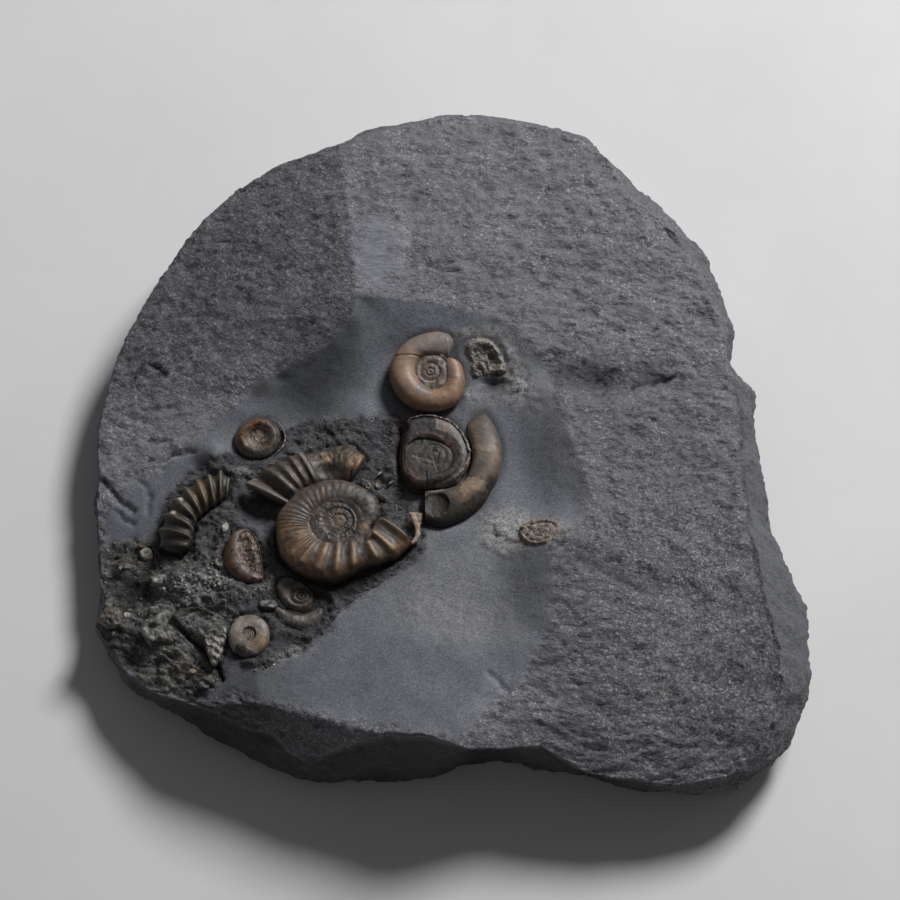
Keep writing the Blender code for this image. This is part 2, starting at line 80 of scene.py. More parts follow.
HOLLOW = [
    (-47, 8), (-45, 12), (-34, 16), (-27, 19.5), (-22.5, 25), (-21, 29.6), (-11, 29), (-2, 27.3), (7, 25.4),
    (13.5, 22.7), (19, 17.4), (22, 12), (24, 5), (26, -1), (29, -9), (31.5, -18), (30.4, -24), (26, -26),
    (22.5, -30), (23.2, -41), (22, -51), (17, -59), (8, -67), (-3, -80), (-45, -84), (-90, -60),
    (-90, -20), (-60, 0),
]
HOLLOW_BAND = 14.0
TAPS = np.arange(8) * math.pi / 4
FLOOR_HEIGHT = 29.2
FLOOR_SLOPE = 0.1
FLOOR_RISE = 0.14
FLOOR_RISE_FROM = -8.0
FLOOR_RISE_BEND = 6.0
FLOOR_LEFT_END = -40.0
FLOOR_LEFT_BAND = 22.0
CHIP_POINT = (-32.0, -65.0, 27.3)
CHIP_SLOPES = (0.49, 1.29)
CHIP_BASE = 15.5
BACK_FALL = (30.0, 42.0, 4.5)
FRONT_FALL = (25.0, 55.0, 17.0)
RIGHT_FALL = (0.0, 65.0, 4.2)
FRONT_FALL_START_X = -30.0
FRONT_FALL_WIDTH = 60.0
TROUGHS = [
    ((22, 12), (33, 9.5), 3.6, 1.7),
    ((33, 9.5), (50, 10.5), 3.0, 1.2),
    ((24, -29), (37, -34), 2.0, 0.9),
    ((37, -34), (56, -42), 2.2, 0.7),
]
WALL_SCOOPS = [(9.0, 9.0, 5.0), (-18.0, 9.0, 2.5)]
FRONT_LIMIT = -55.0
LUMPS = [
    (-56, -34, 5.5, 1.6), (-49, -37, 3.6, 1.8), (-63, -31, 3.4, 1.6), (-60, -44, 3.8, 2.8), (-54, -46, 3.0, 2.4),
    (-66, -42, 3.0, 2.2), (-62, -51, 4.2, 1.8), (-70, -44, 3.2, 1.6), (-54, -3, 3.0, 2.0), (-76, -41, 3.6, 3.4),
    (-13, -9, 3.2, 2.2), (-19, 3, 5.0, 1.0), (-27, 5, 5.0, 0.8), (-43, -14, 4.2, -2.6), (12.5, -24, 3.5, 0.8),
]
SWELL = (24.0, 0.7)
CHOP = (7.0, 0.35)
SIDE_CHOP = (11.0, 1.1)

# ---------------------------------------------------------------- areas of the face
BANK = [
    (-36, 2.3), (-27, 3.5), (-18, 3), (-11.3, 3.4), (-10, -15.7), (-5.6, -19.3), (-5.6, -27.2), (-11.3, -33.6),
    (-18, -37.7), (-23.6, -41.3), (-27, -46.3), (-33.8, -51.6), (-40.5, -54.5), (-47, -54.5), (-50.6, -42),
    (-50.6, -30), (-58.5, -27), (-66, -28), (-67, -20), (-65, -12), (-59, -6.5), (-52, -3.5), (-47.5, -3),
]
RUBBLE = [
    (-79, -21.5), (-71, -20), (-64, -24), (-57.5, -24), (-50.5, -32), (-49, -38), (-50, -42), (-50.5, -51.5),
    (-51, -56.5), (-56, -60.5), (-65, -56.5), (-72, -52), (-79, -43.5),
]
FACE_CELLS = 245
SIDE_ROWS = 33


def rows_of(outline):
    """Tables of direction, radius and height for an outline of places."""
    places = sorted(outline, key=lambda p: math.atan2(p[1], p[0]))
    direction = np.array([math.atan2(p[1], p[0]) for p in places])
    radius = np.array([math.hypot(p[0], p[1]) for p in places])
    height = np.array([p[2] if len(p) > 2 else 0.0 for p in places])
    return direction, radius, height


def look_up(table, direction):
    radius = np.interp(direction, table[0], table[1], period=2 * math.pi)
    height = np.interp(direction, table[0], table[2], period=2 * math.pi)
    return radius, height


def smooth_step(t):
    t = np.clip(t, 0.0, 1.0)
    return t * t * (3 - 2 * t)


def line_distance(x, y, start, end):
    ax, ay = start
    bx, by = end[0] - ax, end[1] - ay
    t = np.clip(((x - ax) * bx + (y - ay) * by) / (bx * bx + by * by), 0.0, 1.0)
    return np.hypot(x - ax - bx * t, y - ay - by * t)


def signed_depth(x, y, outline):
    """Distance inside an outline, negative outside it."""
    inside = np.zeros(x.shape, bool)
    nearest = np.full(x.shape, 1e9)
    for start, end in zip(outline, outline[1:] + outline[:1]):
        crosses = (start[1] > y) != (end[1] > y)
        rise = end[1] - start[1] if end[1] != start[1] else 1e-9
        inside ^= crosses & (x < start[0] + (y - start[1]) / rise * (end[0] - start[0]))
        nearest = np.minimum(nearest, line_distance(x, y, start, end))
    return np.where(inside, nearest, -nearest)


def fractal(points, length, octaves=3, shift=0.0):
    """Fractal noise, about -1 to 1, at each of many places, for one length or a length for each axis."""
    scaled = np.asarray(points, float) / np.asarray(length, float) + shift
    return np.array([noise.fractal(p, 0.9, 2.1, octaves) for p in scaled.tolist()])


def facets(points, length, shift=0.0):
    """Broken planes: each cell of the stone tilts its own way. About -1 to 1."""
    scaled = np.asarray(points, float) / np.asarray(length, float) + shift
    out = np.empty(len(scaled))
    for i, p in enumerate(scaled.tolist()):
        near, centres = noise.voronoi(p)
        total = 0.0
        weight = 0.0
        for k in range(3):
            c = centres[k]
            tilt = noise.noise_vector(c * 5.17)
            w = math.exp(-14.0 * (near[k] - near[0]))
            total += w * ((p[0] - c[0]) * tilt[0] + (p[1] - c[1]) * tilt[1] + (p[2] - c[2]) * tilt[2] + 0.5 * tilt[1])
            weight += w
        out[i] = total / weight
    return out * 1.6


def fall(distance, start_span_depth):
    start, span, depth = start_span_depth
    return depth * (np.maximum(distance - start, 0) / span) ** 2


def floor_height(x, y):
    behind = y - FLOOR_RISE_FROM
    climb = FLOOR_RISE * 0.5 * (behind + np.hypot(behind, FLOOR_RISE_BEND))
    return FLOOR_HEIGHT + FLOOR_SLOPE * x + climb * smooth_step((x - FLOOR_LEFT_END) / FLOOR_LEFT_BAND)


def chip_height(x, y):
    chip = CHIP_POINT[2] + CHIP_SLOPES[0] * (x - CHIP_POINT[0]) + CHIP_SLOPES[1] * (y - CHIP_POINT[1])
    return np.where(y < FRONT_LIMIT, np.maximum(chip, CHIP_BASE), CROWN)


def hollow_depth(x, y):
    """Depth inside the hollow's outline, with the crease between its walls rounded."""
    deep = signed_depth(x, y, HOLLOW)
    reach = np.clip(0.7 * deep, 0.0, 5.0)
    around = [signed_depth(x + reach * math.cos(a), y + reach * math.sin(a), HOLLOW) for a in TAPS]
    return 0.2 * deep + 0.8 * sum(around) / len(TAPS)


def face_height(x, y):
    front = fall(-y, FRONT_FALL) * smooth_step((x - FRONT_FALL_START_X) / FRONT_FALL_WIDTH)
    z = CROWN - fall(x, RIGHT_FALL) - fall(y, BACK_FALL) - front
    z = z + LEFT_SLOPE * np.minimum(0.0, x - RIDGE_X - RIDGE_LEAN * (y - RIDGE_START_Y))
    for start, end, width, depth in TROUGHS:
        z = z - depth * np.exp(-(line_distance(x, y, start, end) / width) ** 2)
    dug = np.sin(math.pi / 2 * np.clip(hollow_depth(x, y) / HOLLOW_BAND, 0, 1))
    z = z - dug * np.maximum(z - floor_height(x, y), 0.0)
    z = np.minimum(z, chip_height(x, y))
    for lump_x, lump_y, width, height in LUMPS:
        z = z + height * np.exp(-((x - lump_x) ** 2 + (y - lump_y) ** 2) / width ** 2)
    flat = np.stack([x, y, np.zeros_like(x)], 1)
    return z + SWELL[1] * fractal(flat, SWELL[0]) + CHOP[1] * fractal(flat, CHOP[0]) * (1 - dug)


def side_places(direction, t, tables):
    edge, girth, under = (look_up(table, direction) for table in tables)
    top = face_height(edge[0] * np.cos(direction), edge[0] * np.sin(direction))
    if t <= 1:
        radius = edge[0] + (girth[0] - edge[0]) * math.sin(t * math.pi / 2)
        z = top + (girth[1] - top) * t
    else:
        turn = (t - 1) * math.pi / 2
        radius = under[0] + (girth[0] - under[0]) * max(math.cos(turn), 0.0) ** 0.7
        z = girth[1] * (1 - math.sin(turn))
    x = radius * np.cos(direction)
    y = radius * np.sin(direction)
    fade = math.sin(math.pi * min(t, 2.0) / 2)
    inward = -fade * SIDE_CHOP[1] * fractal(np.stack([x, y, z], 1), SIDE_CHOP[0])
    for middle, width, depth in WALL_SCOOPS:
        inward = inward + np.where(y < FRONT_LIMIT, depth * fade * np.exp(-((x - middle) / width) ** 2), 0)
    scale = (radius - inward) / radius
    return np.stack([x * scale, y * scale, z], 1)


# ---------------------------------------------------------------- meshes
def make_piece(name, places, faces, masks=None, smooth=True):
    """A mesh object from places in millimetres, with a float attribute for each mask."""
    mesh = bpy.data.meshes.new(name)
    mesh.from_pydata((np.asarray(places) * MM).tolist(), [], faces)
    bm = bmesh.new()
    bm.from_mesh(mesh)
    bmesh.ops.recalc_face_normals(bm, faces=bm.faces)
    bm.to_mesh(mesh)
    bm.free()
    for key, values in (masks or {}).items():
        layer = mesh.attributes.new(key, "FLOAT", "POINT")
        layer.data.foreach_set("value", np.asarray(values, np.float32))
    mesh.polygons.foreach_set("use_smooth", [smooth] * len(mesh.polygons))
    piece = bpy.data.objects.new(name, mesh)
    bpy.context.scene.collection.objects.link(piece)
    return piece


def hand_over(piece, material, slot, *nodes):
    piece.data.materials.append(material)
    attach(piece, "root")
    if nodes:
        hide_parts(*nodes)
    return piece


def vertex_normals(places, faces):
    """Normals at the corners of a mesh made of quads and one closing face."""
    quads = np.array([f for f in faces if len(f) == 4])
    a, b, c, d = (places[quads[:, k]] for k in range(4))
    n = np.cross(c - a, d - b)
    out = np.zeros_like(places)
    for k in range(4):
        np.add.at(out, quads[:, k], n)
    return out / np.maximum(np.linalg.norm(out, axis=1, keepdims=True), 1e-9)


# ---------------------------------------------------------------- the stone
# Each mark: middle x and y, half sizes, turn in degrees and strength
# Painted shade: marks that darken the stone's colour on faces turned from the light, in the hollow's crease and in the
# troughs
PAINTED_SHADE_SPOTS = [
    (-30.0, 16.5, 15.0, 10.0, 35, 0.56), (-46.0, -59.0, 15.0, 9.0, 0, 0.42), (-50.0, 42.0, 26.0, 18.0, 45, 0.14),
    (23.0, -3.0, 4.0, 12.0, -12, 0.12), (31.3, 10.6, 10.5, 3.4, -6, 0.58), (47.0, -3.0, 20.0, 22.0, 0, 0.08),
    (-8.0, -31.5, 7.0, 3.0, 30, 0.25), (34.5, -34.9, 10.5, 1.7, -27, 0.50), (24.5, -31.5, 4.0, 2.2, -60, 0.22),
    (-72.0, -32.7, 4.4, 4.0, 0, 0.60), (-28.5, 8.4, 8.0, 5.0, 10, 0.36),
    (-22.0, 23.5, 2.8, 7.0, -20, 0.34), (-19.5, 28.6, 3.0, 1.0, -20, 0.30),
]
# Painted light: marks that lighten the stone's colour where its faces should catch more light
PAINTED_LIGHT_SPOTS = [
    (43.0, 28.0, 16.0, 8.0, -10, 0.14), (45.0, -58.0, 18.0, 12.0, 0, 0.14), (-72.0, -4.0, 12.0, 13.0, 0, 0.26),
    (-55.0, 1.0, 10.0, 8.0, 0, 0.18), (-3.0, 25.2, 12.0, 3.6, -12, 0.34), (14.0, -66.0, 13.0, 6.0, 0, 0.22),
    (-78.0, -33.0, 3.0, 7.5, 0, 0.70), (-10.3, 43.0, 1.5, 7.0, 0, 0.25), (-74.0, 7.0, 8.0, 8.0, 0, 0.16),
    (-61.0, -52.0, 10.0, 7.0, -25, 0.60), (33.0, 50.0, 22.0, 14.0, 0, 0.05), (12.6, -24.4, 4.6, 4.8, -10, 0.08),
    (-57.0, -37.0, 11.0, 7.0, -15, 0.22),
]
# Painted shadows: dark marks under the fossils, below steps and lumps, and in holes
PAINTED_SHADOW_SPOTS = [
    (-43.3, 10.5, 2.6, 1.5, -20, 0.55), (-27.5, -37.3, 9.0, 2.6, 12, 0.85), (-17.0, -33.6, 8.0, 1.5, 24, 0.7),
    (-33.0, -46.6, 6.0, 1.8, 15, 0.7), (-40.5, -41.5, 3.0, 1.2, -10, 0.7), (9.8, 9.2, 3.2, 1.2, -6, 0.95),
    (-55.5, -4.5, 3.4, 1.8, -30, 0.55), (-48.6, -24.5, 2.2, 1.6, 0, 0.5), (-67.5, -43.2, 1.3, 0.8, 20, 0.95),
    (14.2, -30.3, 5.0, 0.6, -5, 0.45), (-62.0, -52.0, 5.0, 2.0, -30, 0.25), (-58.5, -57.5, 3.0, 1.5, -20, 0.5), (-64.0, -27.5, 4.0, 1.3, 0, 0.5),
]
PALE_SPOTS = [
    (13.2, -23.8, 6.6, 4.8, -8, 1.0), (12.4, -24.6, 3.6, 4.0, 0, 0.9), (16.2, 8.0, 0.9, 3.4, 15, 0.9), (24.5, -26.0, 3.0, 2.6, 0, 0.6), (13.0, -29.0, 6.0, 1.4, -22, 0.45),
    (17.5, 8.0, 1.5, 7.0, 28, 0.45), (8.0, 7.3, 6.0, 1.3, -25, 0.4), (-55.5, -33.5, 8.0, 2.8, 12, 0.55),
    (-40.0, -33.8, 4.0, 1.6, -5, 0.45), (-36.5, -52.0, 6.0, 1.4, 22, 0.75), (-47.0, -7.5, 2.6, 1.2, 0, 0.5),
    (-60.0, 3.0, 9.0, 6.0, 15, 0.20), (-10.3, 43.0, 1.4, 7.0, 0, 0.45), (-22.8, 57.5, 2.0, 2.6, 0, 0.5),
    (13.4, 12.0, 4.2, 8.0, 22, 0.75), (6.0, 21.2, 6.0, 1.2, 0, 0.75), (3.4, 8.4, 3.2, 1.3, -45, 0.75),
    (1.0, -45.0, 16.0, 5.0, -14, 0.18), (13.5, 18.0, 4.0, 1.2, -50, 0.35),
]
RUST_SPOTS = [
    (-15.8, -12.2, 1.2, 0.9, 0, 0.9), (-26.0, 1.2, 5.0, 1.6, 0, 0.20), (-42.6, 10.2, 2.5, 1.4, 0, 0.35),
    (6.0, 3.0, 3.5, 1.4, 30, 0.3), (55.0, 50.0, 2.6, 1.8, 0, 0.25), (-58.0, -54.0, 7.0, 4.0, -25, 0.16),
    (-70.0, -50.0, 4.0, 4.0, 0, 0.10), (49.0, -61.0, 2.0, 1.4, 0, 0.35), (19.0, 58.0, 3.0, 2.0, 0, 0.25),
]
MOLD = [
    (-46.5, -13.3), (-42.7, -12.0), (-39.1, -14.3), (-37.2, -17.3), (-38.6, -20.2), (-39.3, -23.2),
    (-40.1, -27.1), (-42.7, -24.5), (-43.9, -21.9), (-47.5, -20.7), (-47.5, -16.3),
]
# Open cracks: places along each, with its width and depth at the end of the list
CRACKS = [
    ([(-60.9, -43.8), (-57.2, -47.5), (-54.3, -49.9), (-52.3, -53.3), (-50.9, -56.6)], 0.5, 1.6),
    ([(8.5, -57.6), (9.6, -58.8), (11.0, -60.0), (11.4, -61.4), (13.0, -62.0)], 0.5, 0.6),
    ([(-73.4, 16.6), (-71.6, 19.4), (-69.5, 21.2), (-67.0, 19.2), (-64.8, 17.6)], 0.42, 0.75),
    ([(-68.0, 9.8), (-65.4, 9.2), (-62.8, 9.4)], 0.7, 0.5),
    ([(-68.6, 2.2), (-67.0, 1.6), (-65.3, 1.8), (-63.5, 1.2)], 0.40, 0.7),
    ([(-68.2, -2.3), (-66.4, -3.1), (-63.0, -2.2), (-59.6, -1.8), (-57.8, -1.8)], 0.40, 0.7),
    ([(-71.3, -6.5), (-69.1, -8.4), (-68.0, -11.3), (-68.4, -14.9)], 0.40, 0.6),
    ([(-79.0, -5.4), (-77.6, -7.9), (-75.4, -11.0), (-72.0, -13.9)], 0.50, 0.8),
    ([(-76.0, -13.5), (-73.8, -16.0), (-71.5, -17.5)], 0.40, 0.5),
    ([(41.0, 8.6), (43.5, 9.6), (46.5, 9.9), (50.0, 10.8)], 0.5, 0.9),
    ([(29.0, -32.6), (34.0, -35.2), (39.0, -37.9), (43.0, -39.9)], 0.6, 0.6),
    ([(-3.9, 36.3), (-1.0, 35.2), (2.0, 35.3)], 0.4, 0.6),
]
# Small pits: place, half width and depth
PITS = [
    (31.8, 57.5, 1.5, 0.9, 1.3), (32.8, 36.2, 1.3, 0.7, 0.8), (11.4, 33.6, 2.2, 0.6, 0.8), (54.5, 33.0, 2.0, 1.5, 0.9),
    (57.5, 26.0, 2.0, 2.5, 0.8), (63.0, -59.0, 4.5, 3.0, 0.9), (42.0, -8.5, 1.6, 1.0, 0.5), (50.5, -20.5, 1.0, 0.7, 0.6),
    (33.5, 6.5, 1.0, 0.7, 0.9), (41.0, -3.0, 1.4, 0.9, 0.5), (-14.0, -10.5, 1.0, 0.8, 0.5), (-38.5, 12.5, 2.4, 1.2, 0.5),
    (-40.6, -41.2, 1.8, 0.7, 1.2), (9.0, 10.0, 2.4, 0.8, 1.3), (-6.8, -25.2, 0.8, 0.7, 1.0),
]
GRITTY = [(3.0, -38.0, 22.0, 13.0, -12, 1.0), (25.0, -3.0, 6.0, 15.0, 12, 1.0)]
SMOOTH_HOLE = (-72.0, -32.7, 4.4, 4.0, 0)
SMOOTH_PATCH = (-16.6, 39.5, 5.6, 10.0, 4)
CALM_LEFT = (-69.0, -3.0, 13.0, 13.0, 0)
FRONT_CHIP = (-27.0, -67.0, 12.0, 5.0, -12)
# FRONT_WALL_LEFT is where the front wall gets extra painted shade
FRONT_WALL_LEFT = (-50.0, -63.5, 10.0, 5.5, -28)
EDGE_GROOVE = (
    (63.4, 16.0), (64.9, 4.0), (65.8, -10.0), (66.6, -24.0), (68.2, -32.0), (70.4, -42.0), (73.2, -51.0),
)
SHELF = [
    (63.6, 16.0), (65.1, 4.0), (66.0, -10.0), (66.8, -24.0), (68.4, -32.0), (70.6, -42.0), (73.4, -51.0), (77.0, -57.0),
    (86.0, -57.0), (86.0, -24.0), (76.0, 16.0),
]


def spot(x, y, mark):
    """Soft oval mark, 1 in its middle."""
    turn = math.radians(mark[4])
    dx, dy = x - mark[0], y - mark[1]
    along = dx * math.cos(turn) + dy * math.sin(turn)
    across = dy * math.cos(turn) - dx * math.sin(turn)
    return np.exp(-((along / mark[2]) ** 2 + (across / mark[3]) ** 2) ** 1.4)


def spots(x, y, marks):
    keep = np.ones(x.shape)
    for mark in marks:
        keep = keep * (1 - mark[5] * spot(x, y, mark))
    return 1 - keep


def pebbles(points, length, shift=0.0):
    """Rounded grains: 1 at the middle of a cell, 0 at its edge."""
    scaled = np.asarray(points, float) / np.asarray(length, float) + shift
    out = np.empty(len(scaled))
    for i, p in enumerate(scaled.tolist()):
        near = noise.voronoi(p)[0]
        out[i] = near[1] - near[0]
    return np.clip(out * 1.6, 0, 1)


def turned(points, degrees):
    a = math.radians(degrees)
    x, y, z = np.asarray(points).T
    return np.stack([x * math.cos(a) + y * math.sin(a), y * math.cos(a) - x * math.sin(a), z], 1)


def stone_body():
    """The closed body of the stone, with how far each place is round its side: 0 face, 1 girth, 2 underside."""
    tables = [rows_of(outline) for outline in (FACE_EDGE, GIRTH, UNDERSIDE)]
    n = FACE_CELLS
    line = np.linspace(-1, 1, n + 1)
    u, v = np.meshgrid(line, line, indexing="ij")
    u, v = u.ravel(), v.ravel()
    across = u * np.sqrt(1 - v * v / 2)
    up = v * np.sqrt(1 - u * u / 2)
    direction = np.arctan2(up, across)
    radius = np.hypot(across, up) * look_up(tables[0], direction)[0]
    x, y = radius * np.cos(direction), radius * np.sin(direction)
    places = [np.stack([x, y, face_height(x, y)], 1)]
    faces = []
    for i in range(n):
        for j in range(n):
            a = i * (n + 1) + j
            faces.append((a, a + n + 1, a + n + 2, a + 1))
    ring = [i * (n + 1) for i in range(n)]
    ring += [n * (n + 1) + j for j in range(n)]
    ring += [i * (n + 1) + n for i in range(n, 0, -1)]
    ring += [j for j in range(n, 0, -1)]
    around = np.arctan2(places[0][ring, 1], places[0][ring, 0])
    count = (n + 1) ** 2
    side_t = [np.zeros(count)]
    before = ring
    for row in range(1, SIDE_ROWS + 1):
        t = 2.0 * row / SIDE_ROWS
        places.append(side_places(around, t, tables))
        side_t.append(np.full(len(ring), t))
        now = list(range(count, count + len(ring)))
        count += len(ring)
        for k in range(len(ring)):
            m = (k + 1) % len(ring)
            faces.append((before[k], before[m], now[m], now[k]))
        before = now
    faces.append(tuple(before))
    places = np.concatenate(places)
    side_t = np.concatenate(side_t)
    normal = vertex_normals(places, faces)
    if normal[(n + 1) * (n // 2) + n // 2, 2] < 0:
        normal = -normal
    return places, faces, side_t, normal


def fossil_gap(x, y):
    """Distance outside the nearest fossil, negative inside one."""
    arc = list(ARC_OUTER) + list(ARC_INNER)[::-1]
    chamber = list(CHAMBER_OUTER) + list(CHAMBER_INNER)[::-1]
    arm = list(ARM_OUTER) + list(ARM_INNER)[::-1]
    shaded = list(SHADED_OUTER) + [(-30.4, -37.4), (-32.6, -35.0), (-35.3, -33.6), (-37.1, -33.3), (-38.5, -34.3)]
    outlines = [
        MAIN_OUTER[2:], arc, SMOOTH_OUTER, RIGHT_EDGE, chamber, arm, ellipse((-43.4, -0.5), 5.2, 4.6), HALF_OUTLINE,
        shaded, ellipse((-44.9, -47.1), 4.65, 4.95), CRUST_OUTLINE,
    ]
    return -np.maximum.reduce([signed_depth(x, y, list(outline)) for outline in outlines])


def build_stone():
    places, faces, side_t, normal = stone_body()
    x, y, z = places.T
    face = smooth_step(1 - side_t / 0.2)
    side = 1 - face
    ragged = 0.25 + 0.75 * smooth_step((8 - y) / 12)
    wobble = 1.6 * ragged * fractal(places, 5.0, 3, 7.0)
    fine_wobble = fractal(places, 1.6, 2, 77.0)
    hollow_in = signed_depth(x, y, HOLLOW) + wobble
    bank = smooth_step((signed_depth(x, y, BANK) + wobble * 0.8 + fine_wobble) / 2.0 + 0.5) * face
    rubble = smooth_step((signed_depth(x, y, RUBBLE) + wobble * 0.6 + fine_wobble) / 1.6 + 0.5) * face
    mold = smooth_step(signed_depth(x, y, MOLD) / 1.6 + 0.2) * face
    left_patch = np.exp(-(((x + 58) / 9) ** 2 + ((y - 4) / 8) ** 2) ** 2) * face
    worked = smooth_step((hollow_in + 0.5) / (0.8 + 1.4 * ragged)) * face
    worked = np.maximum(worked, 0.6 * left_patch) * (1 - bank) * (1 - rubble)
    chipped = smooth_step((floor_height(x, y) - chip_height(x, y) + 3.0 + wobble) / 2.0) * face
    worked *= (1 - chipped) * smooth_step((signed_depth(x, y, FACE_EDGE) - 0.8 + 0.5 * wobble) / 1.2)
    gritty = spots(x, y, GRITTY) * worked
    past_ridge = x - RIDGE_X - RIDGE_LEAN * (y - RIDGE_START_Y)
    right = smooth_step(past_ridge / 0.7 + 0.5)
    shelf = smooth_step(signed_depth(x, y, SHELF) / 0.7 + 0.3) * smooth_step((1.9 - side_t) / 0.7)
    shelf *= smooth_step((14 - y) / 16)
    calm = spot(x, y, SMOOTH_PATCH) * smooth_step(past_ridge / 0.6) * face
    calm = np.maximum(calm, np.maximum(0.75 * shelf, 0.45 * spot(x, y, CALM_LEFT) * face * (1 - worked)))
    near_ridge = np.exp(-(past_ridge / 2.0) ** 2) * smooth_step((y - 27) / 3) * face
    # rim_light: painted light along the hollow's top rim; it also calms the relief there
    rim_light = np.exp(-((hollow_in + 2.2) / 2.2) ** 2) * smooth_step((y - 4) / 5) * smooth_step((-16 - x) / 4) * face
    rough = face * (1 - worked)
    gap = fossil_gap(x, y)
    contact = np.exp(-(np.maximum(gap, 0) / 0.75) ** 2) * face
    big = facets(places, (9.0, 6.0, 8.0), 2.0)
    chips = facets(places, (3.6, 2.2, 3.2), 5.0)
    scales = facets(places, (1.9, 1.15, 1.7), 9.0)
    grain = fractal(places, 1.3, 2, 11.0)
    hackle = fractal(places, (2.8, 1.0, 2.4), 3, 3.0)
    slant = fractal(turned(places, -38), (3.4, 1.1, 2.6), 3, 33.0)
    slant_chips = facets(turned(places, -38), (3.6, 1.7, 2.6), 35.0)
    ledge = fractal(places, (7.0, 2.6, 5.0), 3, 51.0)
    ledge = smooth_step((np.abs(ledge) - 0.10) / 0.06) - 0.5
    lift = rough * right * (0.12 * hackle + 0.10 * grain + 0.34 * chips + 0.22 * scales + 0.34 * big + 0.22 * ledge)
    lift += rough * (1 - right) * (
        0.20 * slant + 0.08 * grain + 0.36 * slant_chips + 0.16 * scales + 0.36 * big + 0.22 * ledge)
    lift *= (1 - 0.8 * calm) * (1 - 0.85 * near_ridge) * (1 - 0.6 * rim_light)
    stones = pebbles(places, (1.7, 1.5, 1.5), 61.0)
    soft_bank = bank * (1 - mold)
    lift += soft_bank * (0.12 * grain + 0.30 * fractal(places, 3.2, 2, 21.0) + 0.10 * (stones - 0.4) + 0.10 * chips)
    lift += rubble * (1 - 0.8 * spot(x, y, SMOOTH_HOLE)) * (
        0.35 * chips + 0.15 * grain + 0.8 * facets(places, 5.2, 31.0) + 0.12 * (stones - 0.4))
    crusty = spots(x, y, PALE_SPOTS) * face * (1 - rubble) * (y < 30)
    lift += worked * (0.04 * fractal(places, 2.2, 2, 15.0) + 0.06 * gritty * grain)
    lift += crusty * worked * (0.70 * grain + 0.45 * scales + 0.35 * (stones - 0.3))
    lift += soft_bank * 0.5 * np.exp(-((gap - 1.6) / 1.0) ** 2) - 0.35 * contact
    lift -= 0.9 * mold
    lift += chipped * (0.35 * big + 0.25 * chips)
    shake = (0.5 * fractal(places, 2.0, 2, 63.0), 0.5 * fractal(places, 2.0, 2, 65.0))
    opened = [depth * np.exp(-(far_from_line(x + shake[0], y + shake[1], path) / width) ** 2) * face
              for path, width, depth in CRACKS]
    lift -= sum(opened)
    for px, py, wide, tall, depth in PITS:
        lift -= depth * np.exp(-(((x - px) / wide) ** 2 + ((y - py) / tall) ** 2)) * face
    groove = np.exp(-(far_from_line(x, y, EDGE_GROOVE) / 0.42) ** 2) * (side_t < 0.9) * smooth_step((16 - y) / 12)
    lift -= 0.8 * groove
    side_ledge = fractal(places, (9.0, 9.0, 2.2), 3, 57.0)
    chipped = spot(x, y, FRONT_CHIP)
    lift += side * smooth_step((2 - side_t) / 0.25) * (
        0.7 * big + (0.18 + 0.30 * chipped) * chips + (0.06 + 0.22 * chipped) * scales + (0.08 + 0.25 * chipped) * hackle
        + 0.06 * grain
        + 0.3 * (smooth_step((np.abs(side_ledge) - 0.08) / 0.06) - 0.5))
    limit = np.abs(places).max(0)
    places = places + normal * lift[:, None]
    places[:, 0] = np.clip(places[:, 0], -limit[0], limit[0])
    places[:, 2] = np.maximum(places[:, 2], 0.0)
    places[side_t > 1.999, 2] = 0.0
    # Painted shade: the shade mask darkens the facet left of the ridge and the painted shade marks, and lightens the
    # painted light marks
    painted_left_shade = rough * (1 - right) * (0.13 + 0.10 * smooth_step((y - 12) / 15))
    painted_left_shade *= 1 - 0.5 * np.exp(-(past_ridge / 5.0) ** 2)
    shade = (1 - spots(x, y, PAINTED_SHADE_SPOTS) * (1 - bank)) * (1 - painted_left_shade) * (1 + spots(x, y, PAINTED_LIGHT_SPOTS))
    # Painted shadow: the dark mask holds the painted shadow marks, a dark line where the stone meets each fossil, and
    # darkened cracks and edge groove
    dark = np.maximum(spots(x, y, PAINTED_SHADOW_SPOTS) * face, contact * (0.45 + 0.2 * bank))
    dark = np.maximum(dark, 0.8 * np.clip(sum(opened), 0, 1) * (grain > -0.25))
    dark = np.maximum(dark, 0.55 * groove)
    # Painted shade: the shelf on the right and the left of the front wall are darkened, and the wall mask darkens the
    # sides, the front wall most
    shade *= (1 - 0.42 * shelf) * (1 - 0.25 * side * spot(x, y, FRONT_WALL_LEFT))
    wall = side * (0.22 + 0.44 * smooth_step((-50 - y) / 8) * smooth_step((66 - x) / 36))
    wall *= 1 - shelf
    # Painted light: a pale line along the right edge of the ridge, and light along the hollow's top rim, brighten the
    # shade mask
    edge_light = np.exp(-((past_ridge - 0.45) / 0.5) ** 2) * smooth_step((y - 30) / 3) * smooth_step((62 - y) / 20)
    masks = {
        "sparkle": smooth_step((x - 5) / 40) * smooth_step((15 - y) / 50), "worked": worked, "bank": bank,
        "rubble": rubble, "side": wall, "left": (1 - right) * face, "mold": mold, "gritty": gritty,
        "shade": 0.5 * shade * (1 + 0.28 * rim_light + 0.22 * edge_light), "dark": dark, "calm": calm,
        "pale": spots(x, y, PALE_SPOTS) * face,
        "rust": spots(x, y, RUST_SPOTS) * face, "lift": np.clip(0.5 + lift * 0.8, 0, 1),
    }
    return make_piece("stone", places, faces, masks)


